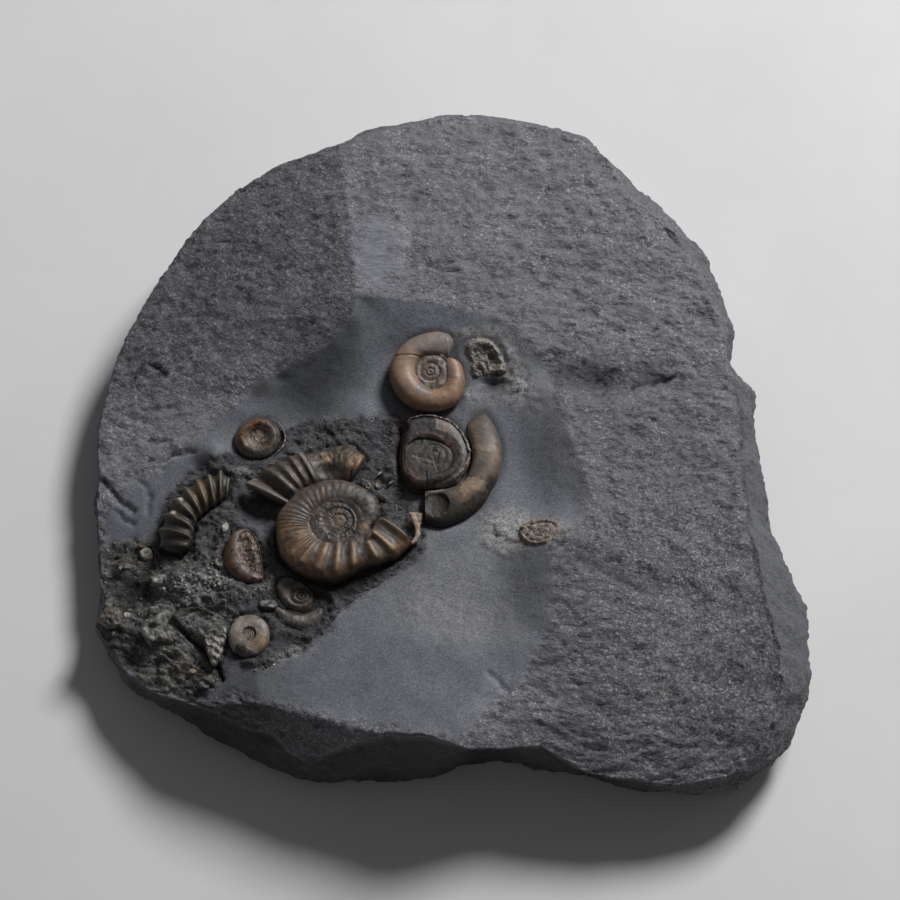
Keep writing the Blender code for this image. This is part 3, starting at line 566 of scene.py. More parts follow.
WHITE_SPOTS = [
    (-55.5, -33.0, 8.5, 3.0, 12, 1.0), (-65.4, -31.9, 2.4, 1.6, 0, 1.0), (-50.8, -32.4, 2.0, 2.6, 10, 1.0),
    (-52.2, -26.0, 1.0, 2.6, -20, 0.9), (-58.6, -36.4, 5.0, 2.0, 0, 0.8), (-51.5, -21.5, 1.2, 1.8, 0, 0.7),
    (-43.0, -36.2, 6.0, 1.4, 10, 0.6), (-36.8, -52.2, 6.0, 1.2, 22, 0.7), (-52.5, -47.5, 2.0, 2.0, 0, 0.5),
]
CRUST_STEP = 0.29
CRUST_DEPTH = 1.4


def build_crust(ground):
    """A crust with finer relief on the bank and in the rubble: a closed sheet that dips into the stone at its edge."""
    gx, gy = np.meshgrid(np.arange(-80, -4, CRUST_STEP), np.arange(-62, 6, CRUST_STEP), indexing="ij")
    x, y = gx.ravel(), gy.ravel()
    flat = np.stack([x, y, 0 * x], 1)
    wobble = 1.2 * fractal(flat, 3.0, 3, 171.0)
    in_bank = signed_depth(x, y, BANK) + wobble
    in_rubble = signed_depth(x, y, RUBBLE) + wobble
    inside = np.maximum(in_bank, in_rubble)
    rest = np.full(len(x), -1.0)
    for i in np.nonzero(inside > -0.6)[0]:
        hit = ground.ray_cast(Vector((x[i] * MM, y[i] * MM, 0.1)), Vector((0, 0, -1)))
        if hit[0] is not None:
            rest[i] = hit[0].z / MM
    good = ((inside > -0.3) & (rest > 16.0)).reshape(gx.shape)
    used = good[:-1, :-1] & good[1:, :-1] & good[:-1, 1:] & good[1:, 1:]
    corner_used = np.zeros(gx.shape, bool)
    for di in (0, 1):
        for dj in (0, 1):
            corner_used[di:di + used.shape[0], dj:dj + used.shape[1]] |= used
    keep = np.nonzero(corner_used.ravel())[0]
    x, y, rest, inside, in_rubble = x[keep], y[keep], rest[keep], inside[keep], in_rubble[keep]
    flat = np.stack([x, y, rest], 1)
    rubble = smooth_step(in_rubble / 1.5 + 0.5)
    mold = smooth_step(signed_depth(x, y, MOLD) / 1.2 + 0.3)
    white = spots(x, y, WHITE_SPOTS)
    gap = fossil_gap(x, y)
    near = np.exp(-(np.maximum(gap, 0) / 0.6) ** 2)
    crumbs = pebbles(flat, 0.95, 181.0)
    ripple = fractal(flat, 0.8, 3, 183.0)
    swell = fractal(flat, 2.6, 3, 185.0)
    slabs = facets(turned(flat, -34), (3.4, 1.5, 2.0), 187.0)
    flakes = facets(turned(flat, -34), (1.5, 0.8, 1.0), 189.0)
    layers = fractal(turned(flat, -36), (4.5, 0.7, 3.0), 3, 193.0)
    granular = 0.30 + 0.70 * smooth_step(fractal(flat, 5.0, 2, 191.0) * 2.4 + 0.55)
    lift = (1 - rubble) * (0.30 * granular * ripple + 0.20 * granular * (crumbs - 0.35) + 0.30 * swell) * (1 - 0.8 * mold)
    streaky = smooth_step((-44 - y) / 3)
    lift += rubble * ((0.55 - 0.25 * streaky) * slabs + 0.26 * flakes + 0.20 * ripple + 0.26 * swell
                      + (0.15 + 0.35 * streaky) * layers)
    smooth_hole = spot(x, y, SMOOTH_HOLE)
    lift *= 1 - 0.85 * smooth_hole
    lift += white * (0.45 * (crumbs - 0.2) + 0.2) - 0.9 * smooth_hole
    opened = np.exp(-(far_from_line(x + 0.4 * swell, y + 0.4 * ripple, CRACKS[0][0]) / 0.35) ** 2)
    lift -= 1.6 * opened + 0.15 * near
    lift += 0.18 - 0.9 * (1 - smooth_step((inside + 0.3) / 1.3))
    n = len(keep)
    number = np.full(gx.size, -1)
    number[keep] = np.arange(n)
    places = np.concatenate([np.stack([x, y, rest + lift], 1), np.stack([x, y, rest - CRUST_DEPTH], 1)])
    wide = gx.shape[1]
    faces = []
    for i, j in zip(*np.nonzero(used)):
        loop = ((i, j), (i + 1, j), (i + 1, j + 1), (i, j + 1))
        ids = [int(number[a * wide + b]) for a, b in loop]
        faces.append(tuple(ids))
        faces.append(tuple(k + n for k in reversed(ids)))
        for k, (ni, nj) in enumerate(((i, j - 1), (i + 1, j), (i, j + 1), (i - 1, j))):
            if 0 <= ni < used.shape[0] and 0 <= nj < used.shape[1] and used[ni, nj]:
                continue
            a, b = ids[k], ids[(k + 1) % 4]
            faces.append((b, a, a + n, b + n))
    # Painted shadow: dark marks, the open crack and a dark rim round each fossil; the shade mask holds the painted
    # shade and painted light marks
    dark = np.maximum(spots(x, y, PAINTED_SHADOW_SPOTS), np.maximum(0.85 * opened, (0.60 - 0.2 * rubble) * near))
    top = {
        "bank": (1 - rubble) * (1 - smooth_hole), "rubble": rubble * (1 - smooth_hole), "mold": mold, "dark": dark, "white": white,
        "shade": 0.5 * (1 - spots(x, y, PAINTED_SHADE_SPOTS)) * (1 + spots(x, y, PAINTED_LIGHT_SPOTS)),
        "pale": spots(x, y, PALE_SPOTS), "rust": spots(x, y, RUST_SPOTS), "lift": np.clip(0.5 + 0.7 * lift, 0, 1),
    }
    masks = {key: np.tile(np.clip(value, 0, 1), 2) for key, value in top.items()}
    return make_piece("crust", places, faces, masks)


# ---------------------------------------------------------------- loose grains and broken shell on the stone
def pebble_shapes(rng, count, low=0.7, high=1.2):
    """A few closed angular grain shapes."""
    shapes = []
    for _ in range(count):
        bm = bmesh.new()
        bmesh.ops.create_icosphere(bm, subdivisions=1, radius=1.0)
        corners = np.array([v.co[:] for v in bm.verts]) * rng.uniform(low, high, (len(bm.verts), 1))
        shapes.append((corners, [tuple(v.index for v in f.verts) for f in bm.faces]))
        bm.free()
    return shapes


def turning(rng):
    q = rng.normal(size=4)
    q /= np.linalg.norm(q)
    w, a, b, c = q
    return np.array([
        [1 - 2 * (b * b + c * c), 2 * (a * b - c * w), 2 * (a * c + b * w)],
        [2 * (a * b + c * w), 1 - 2 * (a * a + c * c), 2 * (b * c - a * w)],
        [2 * (a * c - b * w), 2 * (b * c + a * w), 1 - 2 * (a * a + b * b)],
    ])


def scattered(rng, ground, places, sizes, tones, warms, pales, sink=0.35, flat=0.8):
    """Grains lying in the stone's surface at the given x and y."""
    shapes = pebble_shapes(rng, 24, 0.5, 1.35)
    parts = []
    for (x, y), size, tone, warm, pale in zip(places, sizes, tones, warms, pales):
        hit = ground.ray_cast(Vector((x * MM, y * MM, 0.1)), Vector((0, 0, -1)))
        corners, faces = shapes[rng.integers(len(shapes))]
        if hit[0] is None or not faces:
            continue
        stretch = size * rng.uniform(0.7, 1.25, 3) * np.array([1, 1, flat])
        body = (corners * stretch) @ turning(rng).T
        body = body + np.array([x, y, hit[0].z / MM + size * (0.5 - sink)])
        n = len(body)
        parts.append((body, faces, {"tone": np.full(n, tone), "warm": np.full(n, warm), "pale": np.full(n, pale)}))
    return join_parts(parts)


def pick(rng, count, box, keep):
    """Random places in a box, kept with the chance that keep gives them."""
    found = np.zeros((0, 2))
    while len(found) < count:
        tries = rng.uniform((box[0], box[1]), (box[2], box[3]), (4 * count, 2))
        chance = keep(tries[:, 0], tries[:, 1])
        found = np.concatenate([found, tries[rng.random(len(tries)) < chance]])
    return found[:count]


def bank_grains(ground):
    rng = np.random.default_rng(11)

    def keep(x, y):
        inside = smooth_step(signed_depth(x, y, BANK) / 1.2 + 0.3)
        clear = smooth_step(fossil_gap(x, y) / 0.4 + 0.2)
        calm = 1 - 0.92 * smooth_step(signed_depth(x, y, MOLD) / 1.0 + 0.3)
        patch = 0.25 + 0.75 * smooth_step(fractal(np.stack([x, y, 0 * x], 1), 4.0, 2, 91.0) * 2 + 0.5)
        return inside * clear * calm * patch

    places = pick(rng, 2600, (-68, -56, -4, 5), keep)
    sizes = 0.08 + 0.18 * rng.random(len(places)) ** 4
    # Painted shadow: grains under the painted shadow marks are darker
    shade = spots(places[:, 0], places[:, 1], PAINTED_SHADOW_SPOTS)
    bright = spots(places[:, 0], places[:, 1], PALE_SPOTS)
    tones = np.clip(0.36 + 0.20 * rng.normal(size=len(places)) + 0.35 * bright - 0.3 * shade, 0, 1)
    pales = np.where(rng.random(len(places)) < 0.06 + 0.35 * bright, 0.7, 0.0) * (1 - 0.7 * shade)
    warms = np.where(rng.random(len(places)) < 0.08, 0.4, 0.04)
    return scattered(rng, ground, places, sizes, tones, warms, pales, sink=0.6)


def rubble_grains(ground):
    rng = np.random.default_rng(12)
    def keep(x, y):
        inside = smooth_step(signed_depth(x, y, RUBBLE) / 1.2 + 0.5)
        near_white = spots(x, y, WHITE_SPOTS)
        clear = smooth_step(fossil_gap(x, y) / 0.4 + 0.2)
        return np.clip(0.30 * inside + 1.0 * near_white, 0, 1) * clear

    places = pick(rng, 1700, (-80, -62, -28, -18), keep)
    near_white = spots(places[:, 0], places[:, 1], WHITE_SPOTS)
    sizes = 0.11 + 0.42 * rng.random(len(places)) ** 5 + 0.05 * near_white
    tones = np.clip(0.38 + 0.22 * rng.normal(size=len(places)) + 0.2 * near_white, 0, 1)
    pales = np.where(rng.random(len(places)) < 0.05 + 0.42 * near_white, rng.uniform(0.3, 0.9, len(places)), 0.0)
    warms = np.where(rng.random(len(places)) < 0.16 * (1 - near_white), 0.45, 0.04)
    return scattered(rng, ground, places, sizes, tones, warms, pales, sink=0.6)


NUGGET = [(-79.6, -39.8), (-77.8, -37.7), (-75.3, -37.1), (-73.5, -38.9), (-73.8, -41.3), (-76.7, -41.9)]
SADDLE = [
    (-69.5, -43.8), (-68.7, -41.9), (-66.7, -40.7), (-64.4, -38.9), (-63.2, -41.9), (-60.9, -43.2), (-58.6, -46.5),
    (-60.9, -47.4), (-64.9, -46.0), (-67.5, -46.6),
]
BOWL = [(-62.6, -40.8), (-60.0, -39.4), (-57.2, -39.0), (-54.0, -40.0), (-52.0, -42.0), (-55.2, -43.9), (-59.2, -44.2)]
BANDS = [(-55.2, -46.1), (-53.0, -44.6), (-50.6, -44.2), (-49.9, -46.7), (-50.6, -49.7), (-52.6, -53.4), (-54.3, -50.4)]
# Small broken pieces: place, half sizes, turn, rise, tone, warm and pale
CHIPS = [
    (-68.4, -24.6, 1.7, 1.5, -12, 0.9, 0.88, 0.35, 0.75), (-72.8, -38.9, 0.8, 1.1, 20, 0.7, 0.9, 0.2, 0.85),
    (-69.6, -22.9, 1.5, 0.4, -8, 0.9, 0.20, 0.6, 0.0), (-57.6, -53.8, 1.0, 0.6, 20, 0.7, 0.8, 0.9, 0.3),
    (-72.4, -27.4, 1.8, 0.4, 4, 0.6, 0.75, 0.5, 0.3), (-47.4, -42.9, 1.4, 0.5, 20, 0.5, 0.6, 0.1, 0.4),
    (-46.9, -8.4, 0.9, 0.6, 0, 0.5, 0.6, 0.1, 0.5), (-51.6, -29.0, 1.3, 1.8, 15, 0.8, 0.7, 0.1, 0.7),
    (-40.7, -39.9, 2.3, 1.3, -12, 1.0, 0.42, 0.05, 0.1), (-16.1, -12.9, 1.0, 0.8, 0, 0.6, 0.35, 0.0, 0.1),
    (-15.4, -9.6, 1.7, 0.3, 48, 0.4, 0.6, 0.1, 0.35), (-12.6, -11.8, 1.8, 0.3, 35, 0.4, 0.5, 0.1, 0.35),
    (-18.4, -12.7, 0.7, 0.8, 0, 0.6, 0.7, 1.0, 0.1), (-65.4, -31.6, 2.2, 1.3, 10, 0.8, 0.7, 0.05, 0.6),
    (-50.6, -21.2, 0.8, 1.5, -20, 0.7, 0.75, 0.05, 0.7), (-55.0, -57.4, 1.6, 1.1, -20, 0.8, 0.25, 0.1, 0.0),
]


def patch_ground(ground, x, y, reach=1.5):
    """Mean height of the stone round a place."""
    rises = []
    for dx, dy in ((0, 0), (reach, 0), (-reach, 0), (0, reach), (0, -reach)):
        hit = ground.ray_cast(Vector(((x + dx) * MM, (y + dy) * MM, 0.1)), Vector((0, 0, -1)))
        if hit[0] is not None:
            rises.append(hit[0].z / MM)
    return sum(rises) / len(rises)


def middle_of(outline):
    return tuple(np.mean(np.array(outline), axis=0))


def shell_pieces(ground):
    """Broken shell and lumps in the corner: a saddle with a hole, a bowl, white bands, a nugget and chips."""
    parts = []

    def add(outline, height, tone, warm, pale, rings=26, columns=90, depth=3.0, grain=0.22, seed=0.0):
        middle = middle_of(outline)
        rest = patch_ground(ground, *middle)
        places, faces, v = disc(middle, outline, flat_plane(middle, (0.0, 0.0), rest), height, depth, rings, columns,
                                grain, seed)
        n = len(places)
        mottle = fractal(places, 1.3, 3, seed + 3)
        look = {"tone": tone(places) + 0.40 * mottle, "warm": warm + 0.4 * mottle,
                "pale": pale(places) * smooth_step((mottle + 0.15) / 0.25)}
        parts.append((places, faces, {k: np.clip(np.broadcast_to(w, n), 0, 1) for k, w in look.items()}))

    def rim(rho):
        return np.sqrt(1 - np.clip((rho - 0.75) / 0.25, 0, 1) ** 2)

    def hole(x, y):
        return np.exp(-(((x + 67.3) / 1.2) ** 2 + ((y + 43.1) / 0.8) ** 2))

    def ridge(x, y):
        return np.exp(-((y + 41.6 - 0.75 * (x + 66.0)) / 1.3) ** 2)

    add(SADDLE, lambda rho, turn, x, y: (1.0 + 0.10 * (x + 64.5) + 0.25 * facets(np.stack([x, y, 0 * x], 1), 2.6, 5.0)
                                         + 0.7 * ridge(x, y)) * rim(rho) - 1.1 * hole(x, y),
        lambda p: 0.50 + 0.15 * ridge(p[:, 0], p[:, 1]) - 0.45 * hole(p[:, 0], p[:, 1]), -0.05,
        lambda p: 0.35 * (1 - hole(p[:, 0], p[:, 1])) * (fractal(p, 1.6, 2, 5.0) > -0.05), grain=0.12, seed=41.0)
    add(BOWL, lambda rho, turn, x, y: (0.9 - 1.5 * np.clip(1 - rho, 0, 1) ** 0.7) * rim(rho)
        + 0.12 * np.cos(1.6 * x - 3.6 * y), lambda p: 0.14 + 0 * p[:, 0], 0.25, lambda p: 0 * p[:, 0], grain=0.08,
        seed=42.0)

    def stripes(x, y):
        warp = fractal(np.stack([x, y, 0 * x], 1), 1.8, 3, 195.0)
        return 0.5 + 0.5 * np.cos((0.45 * x + 0.9 * y) * 2 * math.pi / 1.7 + 3.0 * warp)

    add(BANDS, lambda rho, turn, x, y: (0.5 + 0.25 * stripes(x, y)) * rim(rho),
        lambda p: 0.20 + 0.5 * stripes(p[:, 0], p[:, 1]), 0.02,
        lambda p: 0.7 * smooth_step((stripes(p[:, 0], p[:, 1]) - 0.6) / 0.3), seed=43.0)
    add(NUGGET, lambda rho, turn, x, y: 1.8 * rim(rho) * (1 - 0.45 * rho ** 2), lambda p: 0.40 + 0 * p[:, 0], 0.45,
        lambda p: 0.05 + 0 * p[:, 0], grain=0.3, seed=44.0)
    for k, (x, y, wide, tall, turn, rise, tone, warm, pale) in enumerate(CHIPS):
        a = math.radians(turn)
        broken = []
        for j in range(7):
            t = 2 * math.pi * j / 7 + 0.3
            reach = 0.78 + 0.4 * ((37 * k + 53 * j) % 10) / 10
            across, up = reach * wide * math.cos(t), reach * tall * math.sin(t)
            broken.append((x + across * math.cos(a) - up * math.sin(a), y + across * math.sin(a) + up * math.cos(a)))
        add(broken, lambda rho, turn, x, y, rise=rise, k=k: rise * rim(rho) * (0.8 + 0.3 * np.cos(turn + k)),
            lambda p, t=tone: t + 0 * p[:, 0], warm, lambda p, q=pale: q + 0 * p[:, 0], rings=7, columns=30,
            depth=1.6, grain=0.16, seed=50.0 + k)
    return join_parts(parts)


# ---------------------------------------------------------------- whorls
def through(points, t):
    """Smooth curve through points, for places t counted along them."""
    points = np.asarray(points, float)
    padded = np.concatenate([[2 * points[0] - points[1]], points, [2 * points[-1] - points[-2]]])
    k = np.clip(np.floor(t).astype(int), 0, len(points) - 2)
    f = (t - k)[:, None]
    p0, p1, p2, p3 = (padded[k + i] for i in range(4))
    return 0.5 * (2 * p1 + (p2 - p0) * f + (2 * p0 - 5 * p1 + 4 * p2 - p3) * f ** 2
                  + (3 * p1 - p0 - 3 * p2 + p3) * f ** 3)


def along_value(values, s):
    """A value along a whorl from (place, value) pairs."""
    values = values if isinstance(values, (list, tuple)) else [(0.0, values)]
    return np.interp(s, [v[0] for v in values], [v[1] for v in values])


def whorl(inner, outer, plane, top, bottom, rows, sides, ribs=None, rib_rise=0.0, ends=("round", "round"),
          grain=0.05, flat=1.0, slant=0.0, dish=0.0, seed=0.0, shoulder=0.0):
    """A closed tube between an inner and an outer edge.

    plane gives the height of the widest line at a place; top and bottom are the tube's rise and fall from it.
    ribs gives, for places along the tube counted in points, the crest (0 to 1). flat below 1 makes the back flatter.
    slant cuts the far end back at its top, and dish hollows that end. shoulder is how far the ribs die out on the
    outer side. Gives places, faces and values for colouring.
    """
    inner = np.asarray(inner, float)
    outer = np.asarray(outer, float)
    last = len(inner) - 1
    fine = np.linspace(0, last, 2000)
    edge = through(outer, fine)
    travel = np.concatenate([[0], np.cumsum(np.linalg.norm(np.diff(edge, axis=0), axis=1))])
    s = np.interp(np.linspace(0, travel[-1], rows), travel, fine)
    a = through(inner, s)
    b = through(outer, s)
    theta = np.linspace(0, 2 * math.pi, sides, endpoint=False)
    half = (b - a) / 2
    centre = (a + b) / 2
    width = np.linalg.norm(half, axis=1)
    rise = along_value(top, s / last)
    fall = along_value(bottom, s / last)
    crest = ribs(s) if ribs else np.zeros(rows)
    nose = np.ones(rows)
    step = travel[-1] / (rows - 1)
    far = np.arange(rows) * step
    for kind, away, reach in ((ends[0], far, width[0]), (ends[1], far[::-1], width[-1])):
        if kind == "round":
            k = np.clip(away / reach, 0.0, 1.0)
            nose *= np.sqrt(np.maximum(1 - (1 - k) ** 2, 0.0)) * 0.97 + 0.03
    scale = nose[:, None]
    c, w = np.cos(theta)[None, :], np.sin(theta)[None, :]
    on_top = w > 0
    across = -c
    fade = smooth_step((1 + across) / 0.5) * np.where(on_top, 1.0, np.maximum(1 + 0.8 * w, 0.2))
    fade = fade * (1 - shoulder * smooth_step((across - 0.5) / 0.4))
    swell = rib_rise * crest[:, None] * fade * scale
    out = half / width[:, None]
    reach = width[:, None] * scale * across + swell * across
    flat_x = centre[:, 0:1] + out[:, 0:1] * reach
    flat_y = centre[:, 1:2] + out[:, 1:2] * reach
    tall = np.sign(w) * np.abs(w) ** np.where(on_top, flat, 1.0)
    lift = np.where(on_top, rise[:, None], fall[:, None]) * tall * scale + swell * np.maximum(w, -0.3)
    rings = np.stack([flat_x, flat_y, plane(flat_x, flat_y) + lift], 2)
    if grain:
        spots_at = rings.reshape(-1, 3)
        push = grain * fractal(spots_at, 0.9, 3, seed) + 0.8 * grain * fractal(spots_at, 3.1, 2, seed + 9)
        push = push.reshape(rows, sides, 1)
        rings = rings + push * np.stack(np.broadcast_arrays(out[:, 0:1] * across, out[:, 1:2] * across, w), 2)
    along = np.append(centre[-1] - centre[-4], 0.0)
    along /= np.linalg.norm(along)
    if slant:
        weight = smooth_step(1 - far[::-1] / (2.6 * slant))[:, None, None]
        rings = rings - along * slant * weight * np.maximum(w, 0)[:, :, None]
    grow = s / last
    if dish:
        hub = rings[-1].mean(0)
        t = np.linspace(0, 1, 9)[1:, None, None]
        inward = hub + (rings[-1] - hub)[None] * (1 - 0.96 * t) - along * dish * np.sin(t * math.pi / 2)
        rings = np.concatenate([rings, inward])
        grow = np.concatenate([grow, 1 + t.ravel()])
        crest = np.concatenate([crest, np.zeros(len(t))])
    total = len(rings)
    places = rings.reshape(-1, 3)
    faces = []
    for i in range(total - 1):
        for j in range(sides):
            m = (j + 1) % sides
            faces.append((i * sides + j, i * sides + m, (i + 1) * sides + m, (i + 1) * sides + j))
    places = np.concatenate([places, [places[:sides].mean(0), places[-sides:].mean(0)]])
    base = (total - 1) * sides
    for j in range(sides):
        m = (j + 1) % sides
        faces.append((total * sides, m, j))
        faces.append((total * sides + 1, base + j, base + m))
    values = {
        "grow": np.concatenate([np.repeat(grow, sides), [0.0, grow[-1]]]),
        "over": np.concatenate([np.tile(((1 + across) / 2).ravel(), total), [0.5, 0.5]]),
        "up": np.concatenate([np.tile(w.ravel(), total), [0.0, 0.0]]),
        "crest": np.concatenate([np.repeat(crest, sides), [0.0, 0.0]]),
    }
    return places, faces, values


def join_parts(parts):
    """Joins several closed shells into one set of places, faces and values."""
    places, faces, values = [], [], {}
    count = 0
    for part_places, part_faces, part_values in parts:
        places.append(part_places)
        faces += [tuple(k + count for k in f) for f in part_faces]
        count += len(part_places)
        for key, value in part_values.items():
            values.setdefault(key, []).append(value)
    return np.concatenate(places), faces, {key: np.concatenate(v) for key, v in values.items()}


def flat_plane(middle, lean, height):
    return lambda x, y: height + lean[0] * (x - middle[0]) + lean[1] * (y - middle[1])


def rib_train(crests, sharp):
    """Rib crests at counted places along a whorl: 1 on a crest, 0 midway between two."""
    crests = np.asarray(crests, float)

    def value(s):
        phase = np.interp(s, crests, np.arange(len(crests)), left=-0.5, right=len(crests) - 0.5)
        wave = 0.5 + 0.5 * np.cos(2 * math.pi * phase)
        return wave ** np.interp(s, sharp[0], sharp[1])
    return value


# ---------------------------------------------------------------- materials
class Nodes:
    """Short forms for the nodes of one material."""

    def __init__(self, name):
        self.material = bpy.data.materials.new(name)
        self.material.use_nodes = True
        self.tree = self.material.node_tree
        self.shader = self.tree.nodes["Principled BSDF"]
        self.where = self.tree.nodes.new("ShaderNodeTexCoord").outputs["Object"]

    def add(self, kind, **settings):
        node = self.tree.nodes.new(kind)
        for key, value in settings.items():
            setattr(node, key, value)
        return node

    def link(self, source, target):
        self.tree.links.new(source, target)

    def put(self, socket, value):
        if isinstance(value, bpy.types.NodeSocket):
            self.link(value, socket)
        elif isinstance(value, tuple) and len(value) == 3 and socket.type == "RGBA":
            socket.default_value = (*value, 1.0)
        else:
            socket.default_value = value

    def stretched(self, size, turn=0.0):
        """Texture places whose features are longer by size along axes turned by some degrees."""
        node = self.add("ShaderNodeMapping", vector_type="TEXTURE")
        self.link(self.where, node.inputs["Vector"])
        node.inputs["Scale"].default_value = size
        node.inputs["Rotation"].default_value = (0, 0, math.radians(turn))
        return node.outputs["Vector"]

    def blend(self, factor, a, b):
        node = self.add("ShaderNodeMix", data_type="FLOAT")
        for socket, entry in zip((node.inputs[0], node.inputs[2], node.inputs[3]), (factor, a, b)):
            self.put(socket, entry)
        return node.outputs[0]

    def noise(self, length, detail=3.0, rough=0.55, vector=None, warp=0.0):
        """Noise whose features are about length millimetres wide."""
        node = self.add("ShaderNodeTexNoise")
        self.link(vector or self.where, node.inputs["Vector"])
        node.inputs["Scale"].default_value = 1 / (length * MM)
        node.inputs["Detail"].default_value = detail
        node.inputs["Roughness"].default_value = rough
        node.inputs["Distortion"].default_value = warp
        return node.outputs["Fac"]

    def cells(self, length, feature="F1", vector=None):
        node = self.add("ShaderNodeTexVoronoi", feature=feature)
        self.link(vector or self.where, node.inputs["Vector"])
        node.inputs["Scale"].default_value = 1 / (length * MM)
        return node.outputs["Distance"]

    def tilted_cells(self, length, warp, vector):
        """Height of broken chips: each cell of some millimetres is a small plane tilted its own way, 0.5 on average."""
        scaled = self.add("ShaderNodeVectorMath", operation="SCALE")
        self.link(vector, scaled.inputs[0])
        scaled.inputs["Scale"].default_value = 1 / (length * MM)
        shake = self.add("ShaderNodeTexNoise")
        self.link(scaled.outputs[0], shake.inputs["Vector"])
        shake.inputs["Scale"].default_value = 1.3
        shake.inputs["Detail"].default_value = 3.0
        push = self.add("ShaderNodeVectorMath", operation="MULTIPLY_ADD")
        self.link(shake.outputs["Color"], push.inputs[0])
        push.inputs[1].default_value = (warp * 2, warp * 2, warp * 2)
        self.link(scaled.outputs[0], push.inputs[2])
        cells = self.add("ShaderNodeTexVoronoi", feature="F1")
        self.link(push.outputs[0], cells.inputs["Vector"])
        cells.inputs["Scale"].default_value = 1.0
        away = self.add("ShaderNodeVectorMath", operation="SUBTRACT")
        self.link(push.outputs[0], away.inputs[0])
        self.link(cells.outputs["Position"], away.inputs[1])
        tilt = self.add("ShaderNodeVectorMath", operation="SUBTRACT")
        self.link(cells.outputs["Color"], tilt.inputs[0])
        tilt.inputs[1].default_value = (0.5, 0.5, 0.5)
        slope = self.add("ShaderNodeVectorMath", operation="DOT_PRODUCT")
        self.link(away.outputs[0], slope.inputs[0])
        self.link(tilt.outputs[0], slope.inputs[1])
        return self.maths("MULTIPLY_ADD", slope.outputs["Value"], 0.8, 0.5)

    def mask(self, name):
        return self.add("ShaderNodeAttribute", attribute_name=name).outputs["Fac"]

    def ramp(self, value, stops):
        node = self.add("ShaderNodeValToRGB")
        self.put(node.inputs["Fac"], value)
        ramp = node.color_ramp
        while len(ramp.elements) < len(stops):
            ramp.elements.new(0.5)
        for element, (place, colour) in zip(ramp.elements, stops):
            element.position = place
            element.color = (*colour, 1.0) if isinstance(colour, tuple) else (colour, colour, colour, 1.0)
        return node.outputs["Color"]

    def maths(self, operation, a, b=0.0, c=0.0, clamp=False):
        node = self.add("ShaderNodeMath", operation=operation, use_clamp=clamp)
        for socket, entry in zip(node.inputs, (a, b, c)):
            self.put(socket, entry)
        return node.outputs[0]

    def fit(self, value, low, high, new_low=0.0, new_high=1.0):
        node = self.add("ShaderNodeMapRange", clamp=True)
        for socket, entry in zip(node.inputs, (value, low, high, new_low, new_high)):
            self.put(socket, entry)
        return node.outputs[0]

    def mix(self, factor, a, b, blend="MIX"):
        node = self.add("ShaderNodeMix", data_type="RGBA", blend_type=blend)
        self.put(node.inputs[0], factor)
        self.put(node.inputs[6], a)
        self.put(node.inputs[7], b)
        return node.outputs[2]

    def bump(self, heights):
        """Bump of several layers, each a height value, its depth in millimetres and its strength."""
        normal = None
        for height, depth, strength in heights:
            node = self.add("ShaderNodeBump")
            self.put(node.inputs["Height"], height)
            node.inputs["Distance"].default_value = depth * MM
            self.put(node.inputs["Strength"], strength)
            if normal is not None:
                self.link(normal, node.inputs["Normal"])
            normal = node.outputs["Normal"]
        self.link(normal, self.shader.inputs["Normal"])

    def finish(self, colour, roughness):
        self.put(self.shader.inputs["Base Color"], colour)
        self.put(self.shader.inputs["Roughness"], roughness)
        return self.material


